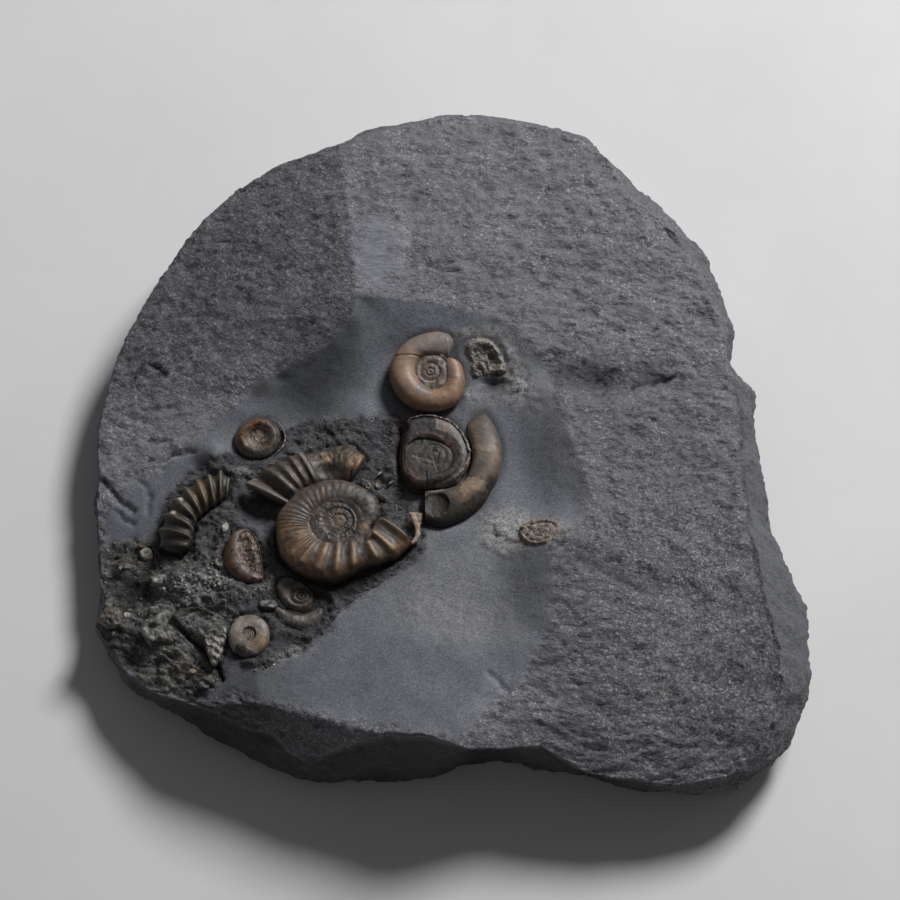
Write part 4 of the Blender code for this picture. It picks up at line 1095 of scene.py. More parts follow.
def stone_material():
    n = Nodes("limestone")
    worked, bank, rubble, side, left, mold, gritty, shade, dark, pale, rust, lift = (n.mask(k) for k in (
        "worked", "bank", "rubble", "side", "left", "mold", "gritty", "shade", "dark", "pale", "rust", "lift"))
    white, sparkle, calm = n.mask("white"), n.mask("sparkle"), n.mask("calm")
    fine = n.noise(0.5, 4, 0.75)
    tiny = n.noise(0.30, 2, 0.8)
    mottle = n.noise(2.4, 5, 0.7)
    lines = n.blend(left, n.noise(1.2, 5, 0.72, vector=n.stretched((2.2, 0.8, 1), -4), warp=0.5),
                    n.noise(1.3, 5, 0.72, vector=n.stretched((2.0, 0.8, 1), -38), warp=0.4))
    slanting = n.stretched((1.9, 0.85, 1.0), -20)
    hackle = n.tilted_cells(1.5, 0.5, slanting)
    flakes = n.tilted_cells(0.65, 0.3, slanting)
    # Broken faces: grey, with a strong fine grain, dark nicks and bright crystal flecks; the low places and chip
    # hollows are darkened as painted shade, and the nicks are painted shade in small cracks
    base = n.ramp(n.noise(22, 4, 0.6), [(0.3, (0.166, 0.167, 0.187)), (0.7, (0.200, 0.201, 0.222))])
    base = n.mix(1.0, base, n.ramp(lift, [(0.28, 0.90), (0.48, 0.99), (0.72, 1.0)]), "MULTIPLY")
    base = n.mix(1.0, base, n.ramp(mottle, [(0.34, 0.93), (0.5, 0.98), (0.66, 1.02)]), "MULTIPLY")
    base = n.mix(1.0, base, n.ramp(hackle, [(0.32, 0.90), (0.5, 0.99), (0.7, 1.0)]), "MULTIPLY")
    base = n.mix(1.0, base, n.ramp(fine, [(0.34, 0.60), (0.48, 0.95), (0.6, 1.0)]), "MULTIPLY")
    base = n.mix(1.0, base, n.ramp(tiny, [(0.36, 0.78), (0.5, 1.0), (0.62, 1.0)]), "MULTIPLY")
    nick = n.noise(1.2, 3, 0.6, vector=n.stretched((2.6, 0.5, 1), -6), warp=0.8)
    nick = n.maths("MULTIPLY", n.fit(nick, 0.315, 0.27, 0.0, 0.85), n.fit(left, 0, 1, 1.0, 0.5))
    base = n.mix(nick, base, (0.022, 0.022, 0.024))
    where_bright = n.maths("MAXIMUM", n.fit(n.noise(6, 3, 0.6), 0.40, 0.62, 0.15, 1.0), n.maths("MAXIMUM", left, sparkle))
    flecks = n.maths("MULTIPLY", n.fit(n.noise(0.62, 3, 0.75, warp=0.5), 0.56, 0.615), where_bright)
    base = n.mix(n.maths("MULTIPLY", flecks, 0.80), base, (0.43, 0.43, 0.45))
    base = n.mix(n.fit(tiny, 0.62, 0.68, 0.0, 0.7), base, (0.40, 0.40, 0.41))
    shard = n.fit(n.noise(1.1, 4, 0.7, vector=n.stretched((1.8, 0.7, 1), -38), warp=0.5), 0.57, 0.64)
    base = n.mix(n.maths("MULTIPLY", shard, n.maths("MULTIPLY", left, 0.5)), base, (0.33, 0.33, 0.345))
    harsh = n.ramp(n.noise(0.75, 4, 0.8), [(0.40, 0.40), (0.49, 0.95), (0.56, 1.0)])
    base = n.mix(n.maths("MULTIPLY", sparkle, 0.8), base, n.mix(1.0, base, harsh, "MULTIPLY"))
    plain = n.ramp(n.noise(0.8, 4, 0.7, vector=n.stretched((4.0, 0.5, 1), 0)), [
        (0.38, (0.115, 0.118, 0.134)), (0.5, (0.180, 0.187, 0.212)), (0.62, (0.225, 0.232, 0.258))])
    base = n.mix(n.maths("MULTIPLY", calm, n.fit(mottle, 0.38, 0.55, 0.35, 0.95)), base, plain)
    # Worked hollow: smooth and bluish, with faint scratches and dust
    finer = n.ramp(n.noise(7, 5, 0.6), [(0.3, (0.114, 0.121, 0.144)), (0.75, (0.150, 0.157, 0.184))])
    scratch = n.noise(0.5, 3, 0.7, vector=n.stretched((6.0, 0.55, 1), 24))
    finer = n.mix(n.fit(scratch, 0.54, 0.68, 0.0, 0.42), finer, (0.215, 0.22, 0.232))
    finer = n.mix(1.0, finer, n.ramp(fine, [(0.36, 0.62), (0.5, 0.98), (0.7, 1.0)]), "MULTIPLY")
    finer = n.mix(1.0, finer, n.ramp(tiny, [(0.36, 0.62), (0.48, 1.0), (0.62, 1.0)]), "MULTIPLY")
    finer = n.mix(n.fit(tiny, 0.58, 0.66, 0.0, 0.6), finer, (0.29, 0.288, 0.288))
    dust = n.maths("MULTIPLY", gritty, n.fit(n.noise(0.55, 4, 0.8), 0.47, 0.62))
    finer = n.mix(n.maths("MULTIPLY", dust, 0.6), finer, (0.27, 0.262, 0.245))
    colour = n.mix(worked, base, finer)
    # The bank: dark grit, darker in its low places as painted shade
    bank_grit_and_shade = n.ramp(n.noise(0.6, 5, 0.8), [(0.34, (0.048, 0.048, 0.053)), (0.47, (0.076, 0.077, 0.084)),
                                         (0.56, (0.102, 0.103, 0.110)), (0.70, (0.19, 0.188, 0.188))])
    bank_grit_and_shade = n.mix(n.fit(n.noise(4.5, 3, 0.6), 0.42, 0.62), bank_grit_and_shade, n.mix(1.0, bank_grit_and_shade, (0.68, 0.68, 0.71), "MULTIPLY"))
    bank_grit_and_shade = n.mix(1.0, bank_grit_and_shade, n.ramp(lift, [(0.25, 0.50), (0.55, 1.0), (0.72, 1.0)]), "MULTIPLY")
    colour = n.mix(bank, colour, bank_grit_and_shade)
    debris = n.ramp(n.noise(1.0, 5, 0.8, vector=n.stretched((1.8, 0.8, 1), -34), warp=0.5), [
        (0.35, (0.020, 0.020, 0.020)), (0.46, (0.074, 0.073, 0.071)), (0.55, (0.130, 0.128, 0.125)),
        (0.67, (0.27, 0.265, 0.26))])
    debris = n.mix(n.fit(n.noise(5.0, 3, 0.6), 0.45, 0.6), debris, n.mix(1.0, debris, (0.68, 0.68, 0.70), "MULTIPLY"))
    # Painted shade: the rubble is darker in its low places
    debris = n.mix(1.0, debris, n.ramp(lift, [(0.22, 0.38), (0.5, 0.95), (0.75, 1.0)]), "MULTIPLY")
    ochre = n.fit(n.noise(3.5, 3, 0.6), 0.50, 0.64, 0.0, 0.5)
    debris = n.mix(ochre, debris, n.mix(1.0, debris, (1.12, 1.0, 0.72), "MULTIPLY"))
    debris = n.mix(1.0, debris, (1.16, 1.16, 1.16), "MULTIPLY")
    colour = n.mix(rubble, colour, debris)
    snow = n.ramp(n.noise(0.7, 5, 0.8, warp=0.5), [(0.38, (0.030, 0.030, 0.031)), (0.47, (0.13, 0.13, 0.132)),
                                                  (0.55, (0.30, 0.30, 0.30)), (0.66, (0.48, 0.48, 0.475))])
    # Painted shade: the white clusters are darker in their low places
    snow = n.mix(1.0, snow, n.ramp(lift, [(0.35, 0.3), (0.6, 1.0), (0.8, 1.0)]), "MULTIPLY")
    colour = n.mix(n.maths("MULTIPLY", white, n.fit(mottle, 0.40, 0.55)), colour, snow)
    hollow = n.ramp(n.noise(2.2, 4, 0.6), [(0.35, (0.065, 0.066, 0.075)), (0.7, (0.130, 0.131, 0.145))])
    colour = n.mix(mold, colour, hollow)
    patchy = n.fit(n.noise(1.0, 5, 0.8), 0.36, 0.56)
    colour = n.mix(n.maths("MULTIPLY", pale, patchy), colour, n.ramp(fine, [
        (0.35, (0.13, 0.127, 0.122)), (0.6, (0.36, 0.352, 0.34))]))
    colour = n.mix(n.maths("MULTIPLY", rust, n.fit(n.noise(1.6, 4, 0.7), 0.36, 0.6)), colour, (0.135, 0.088, 0.05))
    # Painted shade on the sides, the front wall most; then the shade mask's painted shade and light, and the painted
    # shadows
    colour = n.mix(side, colour, (0.01, 0.01, 0.01))
    colour = n.mix(1.0, colour, n.fit(shade, 0, 1, 0.0, 2.0), "MULTIPLY")
    colour = n.mix(n.maths("MULTIPLY", dark, 0.85), colour, (0.010, 0.010, 0.010))
    rough = n.fit(worked, 0, 1, 0.92, 0.66)
    strength = n.maths("MULTIPLY", n.fit(worked, 0, 1, 1.0, 0.12), n.fit(calm, 0, 1, 1.0, 0.3))
    n.bump([
        (hackle, 0.75, strength),
        (lines, 0.55, strength),
        (flakes, 0.45, strength),
        (n.noise(0.4, 3, 0.7), 0.22, strength),
    ])
    return n.finish(colour, rough)


def fossil_material(name, dark, mid, light, warm_dark, warm_mid, warm_light, pale, gloss=(0.42, 0.62), bump=1.0):
    """Calcite shell: tone runs dark to light, warm turns it orange, pale turns it cream."""
    n = Nodes(name)
    tone, warm, pale_mask = n.mask("tone"), n.mask("warm"), n.mask("pale")
    cloud = n.noise(2.2, 4, 0.6)
    fine = n.noise(0.45, 3, 0.65)
    tone = n.maths("ADD", tone, n.fit(cloud, 0.3, 0.7, -0.16, 0.16))
    tone = n.maths("ADD", tone, n.fit(fine, 0.3, 0.7, -0.1, 0.1))
    warm = n.maths("ADD", warm, n.fit(n.noise(1.5, 3, 0.6, warp=0.4), 0.3, 0.7, -0.25, 0.25), clamp=True)
    cool_side = n.ramp(tone, [(0.05, dark), (0.5, mid), (0.95, light)])
    warm_side = n.ramp(tone, [(0.05, warm_dark), (0.5, warm_mid), (0.95, warm_light)])
    colour = n.mix(warm, cool_side, warm_side)
    colour = n.mix(pale_mask, colour, n.mix(n.fit(fine, 0.4, 0.7), pale, n.mix(1.0, pale, (0.62, 0.6, 0.58), "MULTIPLY")))
    rough = n.fit(n.noise(1.2, 3, 0.6), 0.3, 0.7, gloss[0], gloss[1])
    n.bump([(n.noise(0.5, 3, 0.6), 0.05 * bump, 0.8), (n.noise(0.16, 2, 0.6), 0.025 * bump, 0.6)])
    n.shader.inputs["Specular IOR Level"].default_value = 0.5
    return n.finish(colour, rough)


def grain_material(name, light, mid, dark, warm, pale):
    """Loose mineral grains, each with a tone of its own."""
    n = Nodes(name)
    tone = n.maths("ADD", n.mask("tone"), n.fit(n.noise(0.5, 3, 0.7), 0.3, 0.7, -0.18, 0.18))
    colour = n.ramp(tone, [(0.05, dark), (0.45, mid), (0.95, light)])
    colour = n.mix(n.mask("warm"), colour, n.mix(1.0, colour, warm, "MULTIPLY"))
    colour = n.mix(n.mask("pale"), colour, pale)
    n.bump([(n.noise(0.3, 3, 0.7), 0.06, 0.8)])
    return n.finish(colour, n.fit(n.noise(0.8, 2, 0.6), 0.3, 0.7, 0.45, 0.75))


def floor_material():
    n = Nodes("pale_floor")
    colour = n.ramp(n.noise(60, 4, 0.6), [(0.3, (0.60, 0.60, 0.60)), (0.7, (0.64, 0.64, 0.635))])
    n.bump([(n.noise(0.8, 2, 0.5), 0.02, 0.3)])
    return n.finish(colour, 0.85)


BROWNS = dict(dark=(0.016, 0.014, 0.012), mid=(0.072, 0.062, 0.054), light=(0.185, 0.165, 0.145),
              warm_dark=(0.030, 0.015, 0.007), warm_mid=(0.145, 0.080, 0.038), warm_light=(0.36, 0.235, 0.135),
              pale=(0.33, 0.29, 0.245))
GREENS = dict(dark=(0.009, 0.009, 0.008), mid=(0.043, 0.040, 0.030), light=(0.15, 0.14, 0.11),
              warm_dark=(0.03, 0.015, 0.006), warm_mid=(0.12, 0.068, 0.03), warm_light=(0.26, 0.17, 0.09),
              pale=(0.38, 0.35, 0.31))
GREYS = dict(dark=(0.010, 0.010, 0.010), mid=(0.046, 0.042, 0.040), light=(0.135, 0.123, 0.117),
             warm_dark=(0.024, 0.010, 0.006), warm_mid=(0.105, 0.048, 0.024), warm_light=(0.25, 0.155, 0.10),
             pale=(0.29, 0.26, 0.235))
CREAMS = dict(dark=(0.025, 0.023, 0.020), mid=(0.13, 0.118, 0.102), light=(0.34, 0.315, 0.275),
              warm_dark=(0.05, 0.027, 0.015), warm_mid=(0.20, 0.13, 0.075), warm_light=(0.36, 0.275, 0.19),
              pale=(0.42, 0.39, 0.34))


# ---------------------------------------------------------------- discs
def edge_table(outline, middle):
    """Radius by direction of a closed outline seen from a middle, smoothed between its points."""
    points = np.array(list(outline) + [outline[0]], float)
    dense = through(points, np.linspace(0, len(outline), 40 * len(outline), endpoint=False)) - np.array(middle)
    angle = np.arctan2(dense[:, 1], dense[:, 0])
    radius = np.hypot(dense[:, 0], dense[:, 1])
    order = np.argsort(angle)
    return angle[order], radius[order]


def ellipse(middle, across, deep, count=24):
    turn = np.linspace(0, 2 * math.pi, count, endpoint=False)
    return [(middle[0] + across * math.cos(t), middle[1] + deep * math.sin(t)) for t in turn]


def disc(middle, outline, plane, height, depth, rings=70, columns=240, grain=0.05, seed=0.0, skirt=7):
    """A closed round body: height gives its rise above the plane from the share of the radius, direction and place."""
    angles, radii = edge_table(outline, middle)
    phi = np.linspace(-math.pi, math.pi, columns, endpoint=False)
    edge = np.interp(phi, angles, radii, period=2 * math.pi)
    share = np.linspace(0, 1, rings + 1)[1:] ** 0.9
    rho = np.repeat(share, columns)
    turn = np.tile(phi, rings)
    radius = rho * np.tile(edge, rings)
    x, y = middle[0] + radius * np.cos(turn), middle[1] + radius * np.sin(turn)
    rise = height(rho, turn, x, y)
    if grain:
        spots = np.stack([x, y, rise], 1)
        rise = rise + grain * fractal(spots, 0.9, 3, seed) + 0.8 * grain * fractal(spots, 3.0, 2, seed + 9)
    places = [np.stack([x, y, plane(x, y) + rise], 1)]
    rim = places[0][-columns:]
    up = [np.ones(rings * columns)]
    for k in range(1, skirt + 1):
        t = k / skirt
        pull = 1 - 0.25 * (t * depth / edge) ** 2 + 0.12 * math.sin(math.pi * t) / edge
        row = np.array(middle)[None, :] + (rim[:, :2] - np.array(middle)) * pull[:, None]
        low = plane(row[:, 0], row[:, 1]) - depth
        places.append(np.column_stack([row, rim[:, 2] + (low - rim[:, 2]) * t]))
        up.append(np.full(columns, -t))
    total = rings + skirt
    top = np.array([[middle[0], middle[1], places[0][:columns, 2].mean()]])
    base = np.array([[middle[0], middle[1], places[-1][:, 2].mean()]])
    places = np.concatenate(places + [top, base])
    faces = []
    for i in range(total - 1):
        for j in range(columns):
            m = (j + 1) % columns
            faces.append((i * columns + j, i * columns + m, (i + 1) * columns + m, (i + 1) * columns + j))
    for j in range(columns):
        m = (j + 1) % columns
        faces.append((total * columns, m, j))
        faces.append((total * columns + 1, (total - 1) * columns + j, (total - 1) * columns + m))
    pad = skirt * columns
    values = {
        "over": np.concatenate([rho, np.ones(pad), [0.0, 0.0]]),
        "turn": np.concatenate([turn, np.tile(phi, skirt), [0.0, 0.0]]),
        "up": np.concatenate(up + [[1.0, -1.0]]),
    }
    return places, faces, values


def back(share, power=0.5):
    """Rise of a whorl's round back across it."""
    return np.maximum(np.sin(math.pi * np.clip(share, 0, 1)), 0.0) ** power


def widened(inner, outer, share):
    """Moves the inner edge under the earlier whorl by a share of the width."""
    inner, outer = np.asarray(inner, float), np.asarray(outer, float)
    return inner - (outer - inner) * share, outer


def dressed(name, parts, tone, warm, pale, material, slot, node):
    places, faces, _ = parts
    piece = make_piece(name, places, faces, {
        "tone": np.clip(tone, 0, 1), "warm": np.clip(warm, 0, 1), "pale": np.clip(pale, 0, 1)})
    return hand_over(piece, material, slot, node)


# ---------------------------------------------------------------- the main ammonite
MAIN_MIDDLE = (-25.4, -22.5)
MAIN_INNER = [
    (-20.3, -26.6), (-20.6, -25.1), (-20.8, -23.3), (-21.3, -21.2), (-22.0, -19.7), (-23.0, -18.7), (-24.2, -18.2),
    (-25.9, -17.9), (-27.5, -18.2), (-29.0, -18.8), (-30.2, -19.8), (-31.0, -21.0), (-31.5, -22.2), (-31.6, -23.3),
    (-31.5, -24.3), (-31.0, -25.3), (-30.2, -26.3), (-29.1, -27.0), (-27.3, -27.6), (-25.6, -27.7), (-23.7, -27.8),
    (-21.8, -27.8), (-19.9, -27.7), (-18.4, -27.6), (-17.7, -26.3), (-17.3, -25.1), (-16.5, -23.3), (-15.3, -22.0),
]
MAIN_OUTER = [
    (-18.3, -25.8), (-17.7, -24.1), (-16.0, -22.0), (-15.4, -19.7), (-16.3, -16.6), (-18.2, -14.7), (-21.3, -13.0),
    (-24.9, -12.0), (-28.3, -12.2), (-31.1, -13.0), (-34.0, -14.6), (-36.9, -17.6), (-38.7, -20.4), (-39.0, -23.2),
    (-38.8, -26.3), (-37.9, -29.6), (-35.9, -32.2), (-33.3, -34.1), (-29.9, -35.4), (-26.6, -36.0), (-23.9, -35.5),
    (-21.3, -34.1), (-18.7, -32.8), (-16.0, -32.2), (-13.9, -31.4), (-11.7, -30.3), (-10.0, -28.9), (-8.5, -27.3),
]
MAIN_RIBS = [
    1.6, 2.2, 2.8, 3.4, 4.0, 4.6, 5.1, 5.6, 6.1, 6.6, 7.2, 7.8, 8.4, 9.0, 9.6, 10.1, 10.6, 11.1, 11.55, 12.0, 12.4,
    12.8, 13.15, 13.6, 14.2, 14.9, 15.7, 16.6, 18.0, 19.4, 21.0, 23.0, 24.9, 27.0,
]
FLAP = [
    (-9.5, -20.1), (-7.9, -19.9), (-6.2, -20.2), (-6.3, -22.0), (-6.7, -23.6), (-6.4, -25.4), (-7.2, -27.0),
    (-8.6, -27.9), (-9.0, -27.2), (-7.9, -25.9), (-7.7, -24.2), (-8.4, -22.4),
]
CORE_EDGE = [
    (-19.4, -21.5), (-20.4, -19.4), (-22.5, -17.6), (-26.0, -17.0), (-29.5, -18.0), (-31.7, -20.6), (-32.3, -23.0),
    (-31.5, -25.7), (-29.0, -27.8), (-25.5, -28.5), (-21.5, -28.6), (-18.4, -28.3), (-17.2, -26.6), (-17.9, -23.8),
]
# Seams of the early whorls, outermost first: middle and half sizes
MAIN_SEAMS = [((-26.1, -22.7), 5.35, 4.85), ((-25.0, -22.2), 3.35, 3.0), ((-24.7, -22.1), 1.5, 1.35)]


def nested(x, y, seams):
    """Which whorl of a set of nested seams a place is in, its share across that whorl, and its direction."""
    reach = [np.hypot((x - m[0]) / a, (y - m[1]) / b) for m, a, b in seams]
    ring = np.zeros(x.shape)
    share = np.clip(1 - (reach[0] - 1) * 2.0, 0, 1)
    for k in range(len(seams)):
        inside = reach[k] < 1
        if k + 1 < len(seams):
            gap_out, gap_in = 1 - reach[k], np.maximum(reach[k + 1] - 1, 0)
            part = gap_in / np.maximum(gap_out + gap_in, 1e-6)
        else:
            part = reach[k]
        ring = np.where(inside, float(k), ring)
        share = np.where(inside, np.clip(part, 0, 1), share)
    wave = np.arctan2(y - seams[1][0][1], x - seams[1][0][0])
    return ring, share, wave


def strip(path, width, thick, rows=60, sides=14, seed=0.0, grain=0.08):
    """A thin bent strip of shell along a path of places."""
    path = np.asarray(path, float)
    s = np.linspace(0, len(path) - 1, rows)
    middle = through(path, s)
    along = np.gradient(middle, axis=0)
    along /= np.linalg.norm(along, axis=1, keepdims=True)
    side = np.stack([-along[:, 1], along[:, 0], np.zeros(rows)], 1)
    side /= np.linalg.norm(side, axis=1, keepdims=True)
    up = np.cross(along, side) * -1
    up *= np.sign(up[:, 2:3])
    theta = np.linspace(0, 2 * math.pi, sides, endpoint=False)
    fade = np.sqrt(np.maximum(np.sin(math.pi * np.linspace(0.01, 0.99, rows)), 0.02)) ** 0.7
    half = along_value(width, s / s[-1]) / 2 * fade
    tall = along_value(thick, s / s[-1]) / 2 * fade
    c, w = np.cos(theta)[None, :, None], np.sin(theta)[None, :, None]
    places = middle[:, None, :] + half[:, None, None] * c * side[:, None, :] + tall[:, None, None] * w * up[:, None, :]
    places = places.reshape(-1, 3)
    places = places + grain * np.stack([fractal(places, 0.8, 2, seed + k) for k in (0, 5, 9)], 1)
    faces = []
    for i in range(rows - 1):
        for j in range(sides):
            m = (j + 1) % sides
            faces.append((i * sides + j, i * sides + m, (i + 1) * sides + m, (i + 1) * sides + j))
    places = np.concatenate([places, [places[:sides].mean(0), places[-sides:].mean(0)]])
    for j in range(sides):
        m = (j + 1) % sides
        faces.append((rows * sides, m, j))
        faces.append((rows * sides + 1, (rows - 1) * sides + j, (rows - 1) * sides + m))
    n = len(places)
    return places, faces, {"over": np.full(n, 0.5), "up": np.full(n, 0.6)}


def sheet_piece(outline, plane, thick, grain, seed, step=0.22):
    """A thin closed plate of shell with a rounded edge, cut to an outline that may bend inwards."""
    corners = np.array(outline, float)
    low, high = corners.min(0) - step, corners.max(0) + step
    columns = int((high[0] - low[0]) / step) + 1
    rows = int((high[1] - low[1]) / step) + 1
    gx, gy = np.meshgrid(low[0] + step * np.arange(columns), low[1] + step * np.arange(rows), indexing="ij")
    deep = signed_depth(gx.ravel(), gy.ravel(), list(outline))
    cells = deep.reshape(columns, rows)
    used = np.zeros((columns - 1, rows - 1), bool)
    used |= (cells[:-1, :-1] > -0.4 * step) & (cells[1:, 1:] > -0.4 * step)
    used &= (cells[:-1, 1:] > -0.4 * step) & (cells[1:, :-1] > -0.4 * step)
    places, faces, index = [], [], {}

    def corner(i, j, side):
        if (i, j, side) not in index:
            index[i, j, side] = len(places)
            x, y = gx[i, j], gy[i, j]
            bulge = thick / 2 * math.sqrt(min(max(cells[i, j] + 0.3 * step, 0.02) / 0.5, 1.0))
            places.append((x, y, plane(x, y) + (bulge if side else -bulge)))
        return index[i, j, side]

    for i in range(columns - 1):
        for j in range(rows - 1):
            if not used[i, j]:
                continue
            loop = ((i, j), (i + 1, j), (i + 1, j + 1), (i, j + 1))
            faces.append(tuple(corner(*c, True) for c in loop))
            faces.append(tuple(corner(*c, False) for c in reversed(loop)))
            for k, (di, dj) in enumerate(((0, -1), (1, 0), (0, 1), (-1, 0))):
                ni, nj = i + di, j + dj
                if 0 <= ni < columns - 1 and 0 <= nj < rows - 1 and used[ni, nj]:
                    continue
                a, b = loop[k], loop[(k + 1) % 4]
                faces.append((corner(*b, True), corner(*a, True), corner(*a, False), corner(*b, False)))
    places = np.array(places)
    places = places + grain * np.stack([fractal(places, 0.9, 2, seed + k) for k in (0, 5, 9)], 1)
    n = len(places)
    return places, faces, {"over": np.full(n, 0.5), "up": np.full(n, 0.6)}


def kinds(*parts):
    """Joins shells, keeping the values that all have, and the number of the shell each corner is of."""
    keep = set(parts[0][2])
    for part in parts[1:]:
        keep &= set(part[2])
    trimmed = []
    for number, (places, faces, values) in enumerate(parts):
        chosen = {key: values[key] for key in sorted(keep)}
        chosen["part"] = np.full(len(places), float(number))
        trimmed.append((places, faces, chosen))
    return join_parts(trimmed)


def main_coil():
    plane = flat_plane(MAIN_MIDDLE, (0.05, 0.0), 29.2)
    ribs = rib_train(MAIN_RIBS, ([0, 12, 16, 19, 22, 27], [0.8, 0.8, 1.0, 1.3, 1.5, 1.8]))
    inner, outer = widened(MAIN_INNER, MAIN_OUTER, 0.10)
    # Ribs rise with age: low and worn at first, high and narrow on the last quarter
    strength = ([0, 5, 10, 14, 16, 18, 21, 27], [0.03, 0.05, 0.08, 0.16, 0.36, 0.60, 0.85, 1.05])
    last = whorl(inner, outer, plane, [(0, 1.9), (0.12, 2.6), (0.3, 3.3), (0.6, 3.9), (1, 3.5)],
                 [(0, 2.6), (0.3, 3.6), (1, 4.6)], 740, 64, lambda s: ribs(s) * np.interp(s, *strength), 1.0,
                 grain=0.07, seed=1.0, ends=("round", "flat"), flat=0.7, shoulder=0.85)
    centre = (-25.6, -22.8)

    def dish(rho, turn, x, y):
        ring, share, wave = nested(x, y, MAIN_SEAMS)
        crest = 0.5 + 0.5 * np.cos((24 - 5 * ring) * wave + 1.6 * share)
        return 2.15 + 0.55 * rho + (0.17 + 0.05 * crest) * back(share, 0.9) - 0.05 * ring

    core = disc(centre, CORE_EDGE, plane, dish, 4.6, rings=76, columns=230, grain=0.09, seed=4.0)
    core[2]["grow"] = np.zeros(len(core[0]))
    core[2]["crest"] = np.zeros(len(core[0]))
    flap = sheet_piece(FLAP, flat_plane((-8.0, -24.0), (-0.10, -0.02), 31.0), 0.7, 0.10, 17.0)
    flap[2]["grow"] = np.ones(len(flap[0]))
    flap[2]["crest"] = np.full(len(flap[0]), 0.7)
    places, faces, v = kinds(last, core, flap)
    part, grow, over, up, crest = v["part"], v["grow"], v["over"], v["up"], v["crest"]
    s = grow * (len(MAIN_INNER) - 1)
    peak = np.clip(crest / np.interp(s, *strength), 0, 1)
    mottle = fractal(places, 4.0, 3, 41.0)
    streak = fractal(places, 1.0, 3, 44.0)
    tan = smooth_step((s - 10.0) / 4.0)
    coarse = smooth_step((s - 15.0) / 5.0)
    worn = 1 - smooth_step((s - 4.0) / 2.5)
    venter = smooth_step((over - 0.70) / 0.22)
    warm = tan * (0.60 + 0.60 * venter + 0.75 * peak * coarse - 0.80 * coarse * (1 - peak) * (1 - venter))
    warm += (1 - tan) * (0.18 - 0.3 * worn) + 0.3 * mottle
    tone = 0.34 + 0.08 * (peak - 0.5) + 0.26 * coarse * (peak - 0.45) * (1 - venter) + 0.12 * mottle + 0.10 * streak
    tone += 0.10 * tan + 0.20 * smooth_step((s - 21) / 4) * (1 - venter)
    tone -= 0.26 * worn * (1 - smooth_step((streak - 0.18) / 0.12)) + 0.14 * venter * coarse
    tone += 0.14 * smooth_step((s - 21) / 4) * venter
    # Painted shade: darker at the outer edge where the whorl turns under, and on its underside
    tone -= 0.28 * smooth_step((over - 0.93) / 0.06) * tan
    tone -= 0.62 * smooth_step((0.25 - up) / 0.5)
    pale = 0.30 * smooth_step((peak - 0.82) / 0.15) * coarse * (up > 0) * (1 - venter) + 0.05 * smooth_step(streak / 0.3)
    ring, share, _ = nested(places[:, 0], places[:, 1], MAIN_SEAMS)
    seam = np.exp(-(np.minimum(share, 1 - share) / 0.09) ** 2) * (ring < 2.5)
    # Painted shade: the core's seams are darker towards the upper right, where the outer whorl shades them, and the
    # core's underside is darker
    shade = smooth_step((places[:, 0] + 0.6 * places[:, 1] + 38.5) / 4.0)
    in_core = part == 1
    x, y = places[:, 0], places[:, 1]
    amber = np.exp(-(((x + 19.4) / 1.5) ** 2 + ((y + 23.6) / 1.2) ** 2))
    core_tone = 0.24 + 0.18 * mottle + 0.10 * streak - 0.26 * seam * (0.2 + 0.8 * shade) - 0.5 * (up < 0)
    tone = np.where(in_core, core_tone + 0.25 * amber + 0.10 * (ring > 1.5), tone)
    warm = np.where(in_core, 0.22 + 0.35 * mottle + 0.6 * amber, warm)
    pale = np.where(in_core, 0.12 * smooth_step((streak - 0.08) / 0.3) + 0.12 * (ring > 1.5), pale)
    chip = part > 1
    # Painted shade: the right part of the broken flap is darker
    painted_flap_shade = smooth_step((places[:, 0] + 7.6) / 1.0)
    tone = np.where(chip, 0.62 + 0.3 * streak - 0.35 * painted_flap_shade * (places[:, 1] > -22.5), tone)
    warm = np.where(chip, 0.62, warm)
    pale = np.where(chip, 0.30 * (1 - painted_flap_shade), pale)
    return dressed("main_coil", (places, faces, v), tone, warm, pale, fossil_material("main_coil_shell", **BROWNS),
                   "calcite_brown", "ammonite_main_coil")


ARC_INNER = [
    (-35.3, -17.7), (-35.3, -15.9), (-34.3, -14.4), (-33.1, -13.1), (-31.4, -12.3), (-29.7, -11.9), (-27.8, -11.7),
    (-25.7, -11.5), (-23.5, -11.3), (-21.8, -11.0),
]
ARC_OUTER = [
    (-45.6, -12.1), (-42.7, -9.8), (-40.5, -8.3), (-37.2, -6.8), (-35.3, -5.7), (-32.9, -5.4), (-30.7, -5.1),
    (-27.6, -4.0), (-22.3, -3.7), (-19.0, -6.2),
]


ARC_HOLLOW = (-27.2, -10.3, 3.1, 1.9, 0)
ARC_BLOCK = (-21.8, -8.4, 2.6, 2.8, -20)
ARC_ORANGE = [(-27.0, -7.4, 2.7, 1.1, 0, 1.0), (-20.8, -7.6, 1.3, 2.0, -35, 0.6), (-35.0, -10.8, 0.7, 0.8, 0, 0.8)]
# Painted highlights: two small white spots on the whorl
ARC_PAINTED_HIGHLIGHTS = [(-28.5, -5.7, 1.0, 0.5, 5, 0.9), (-28.6, -11.0, 0.9, 0.45, 0, 0.8)]


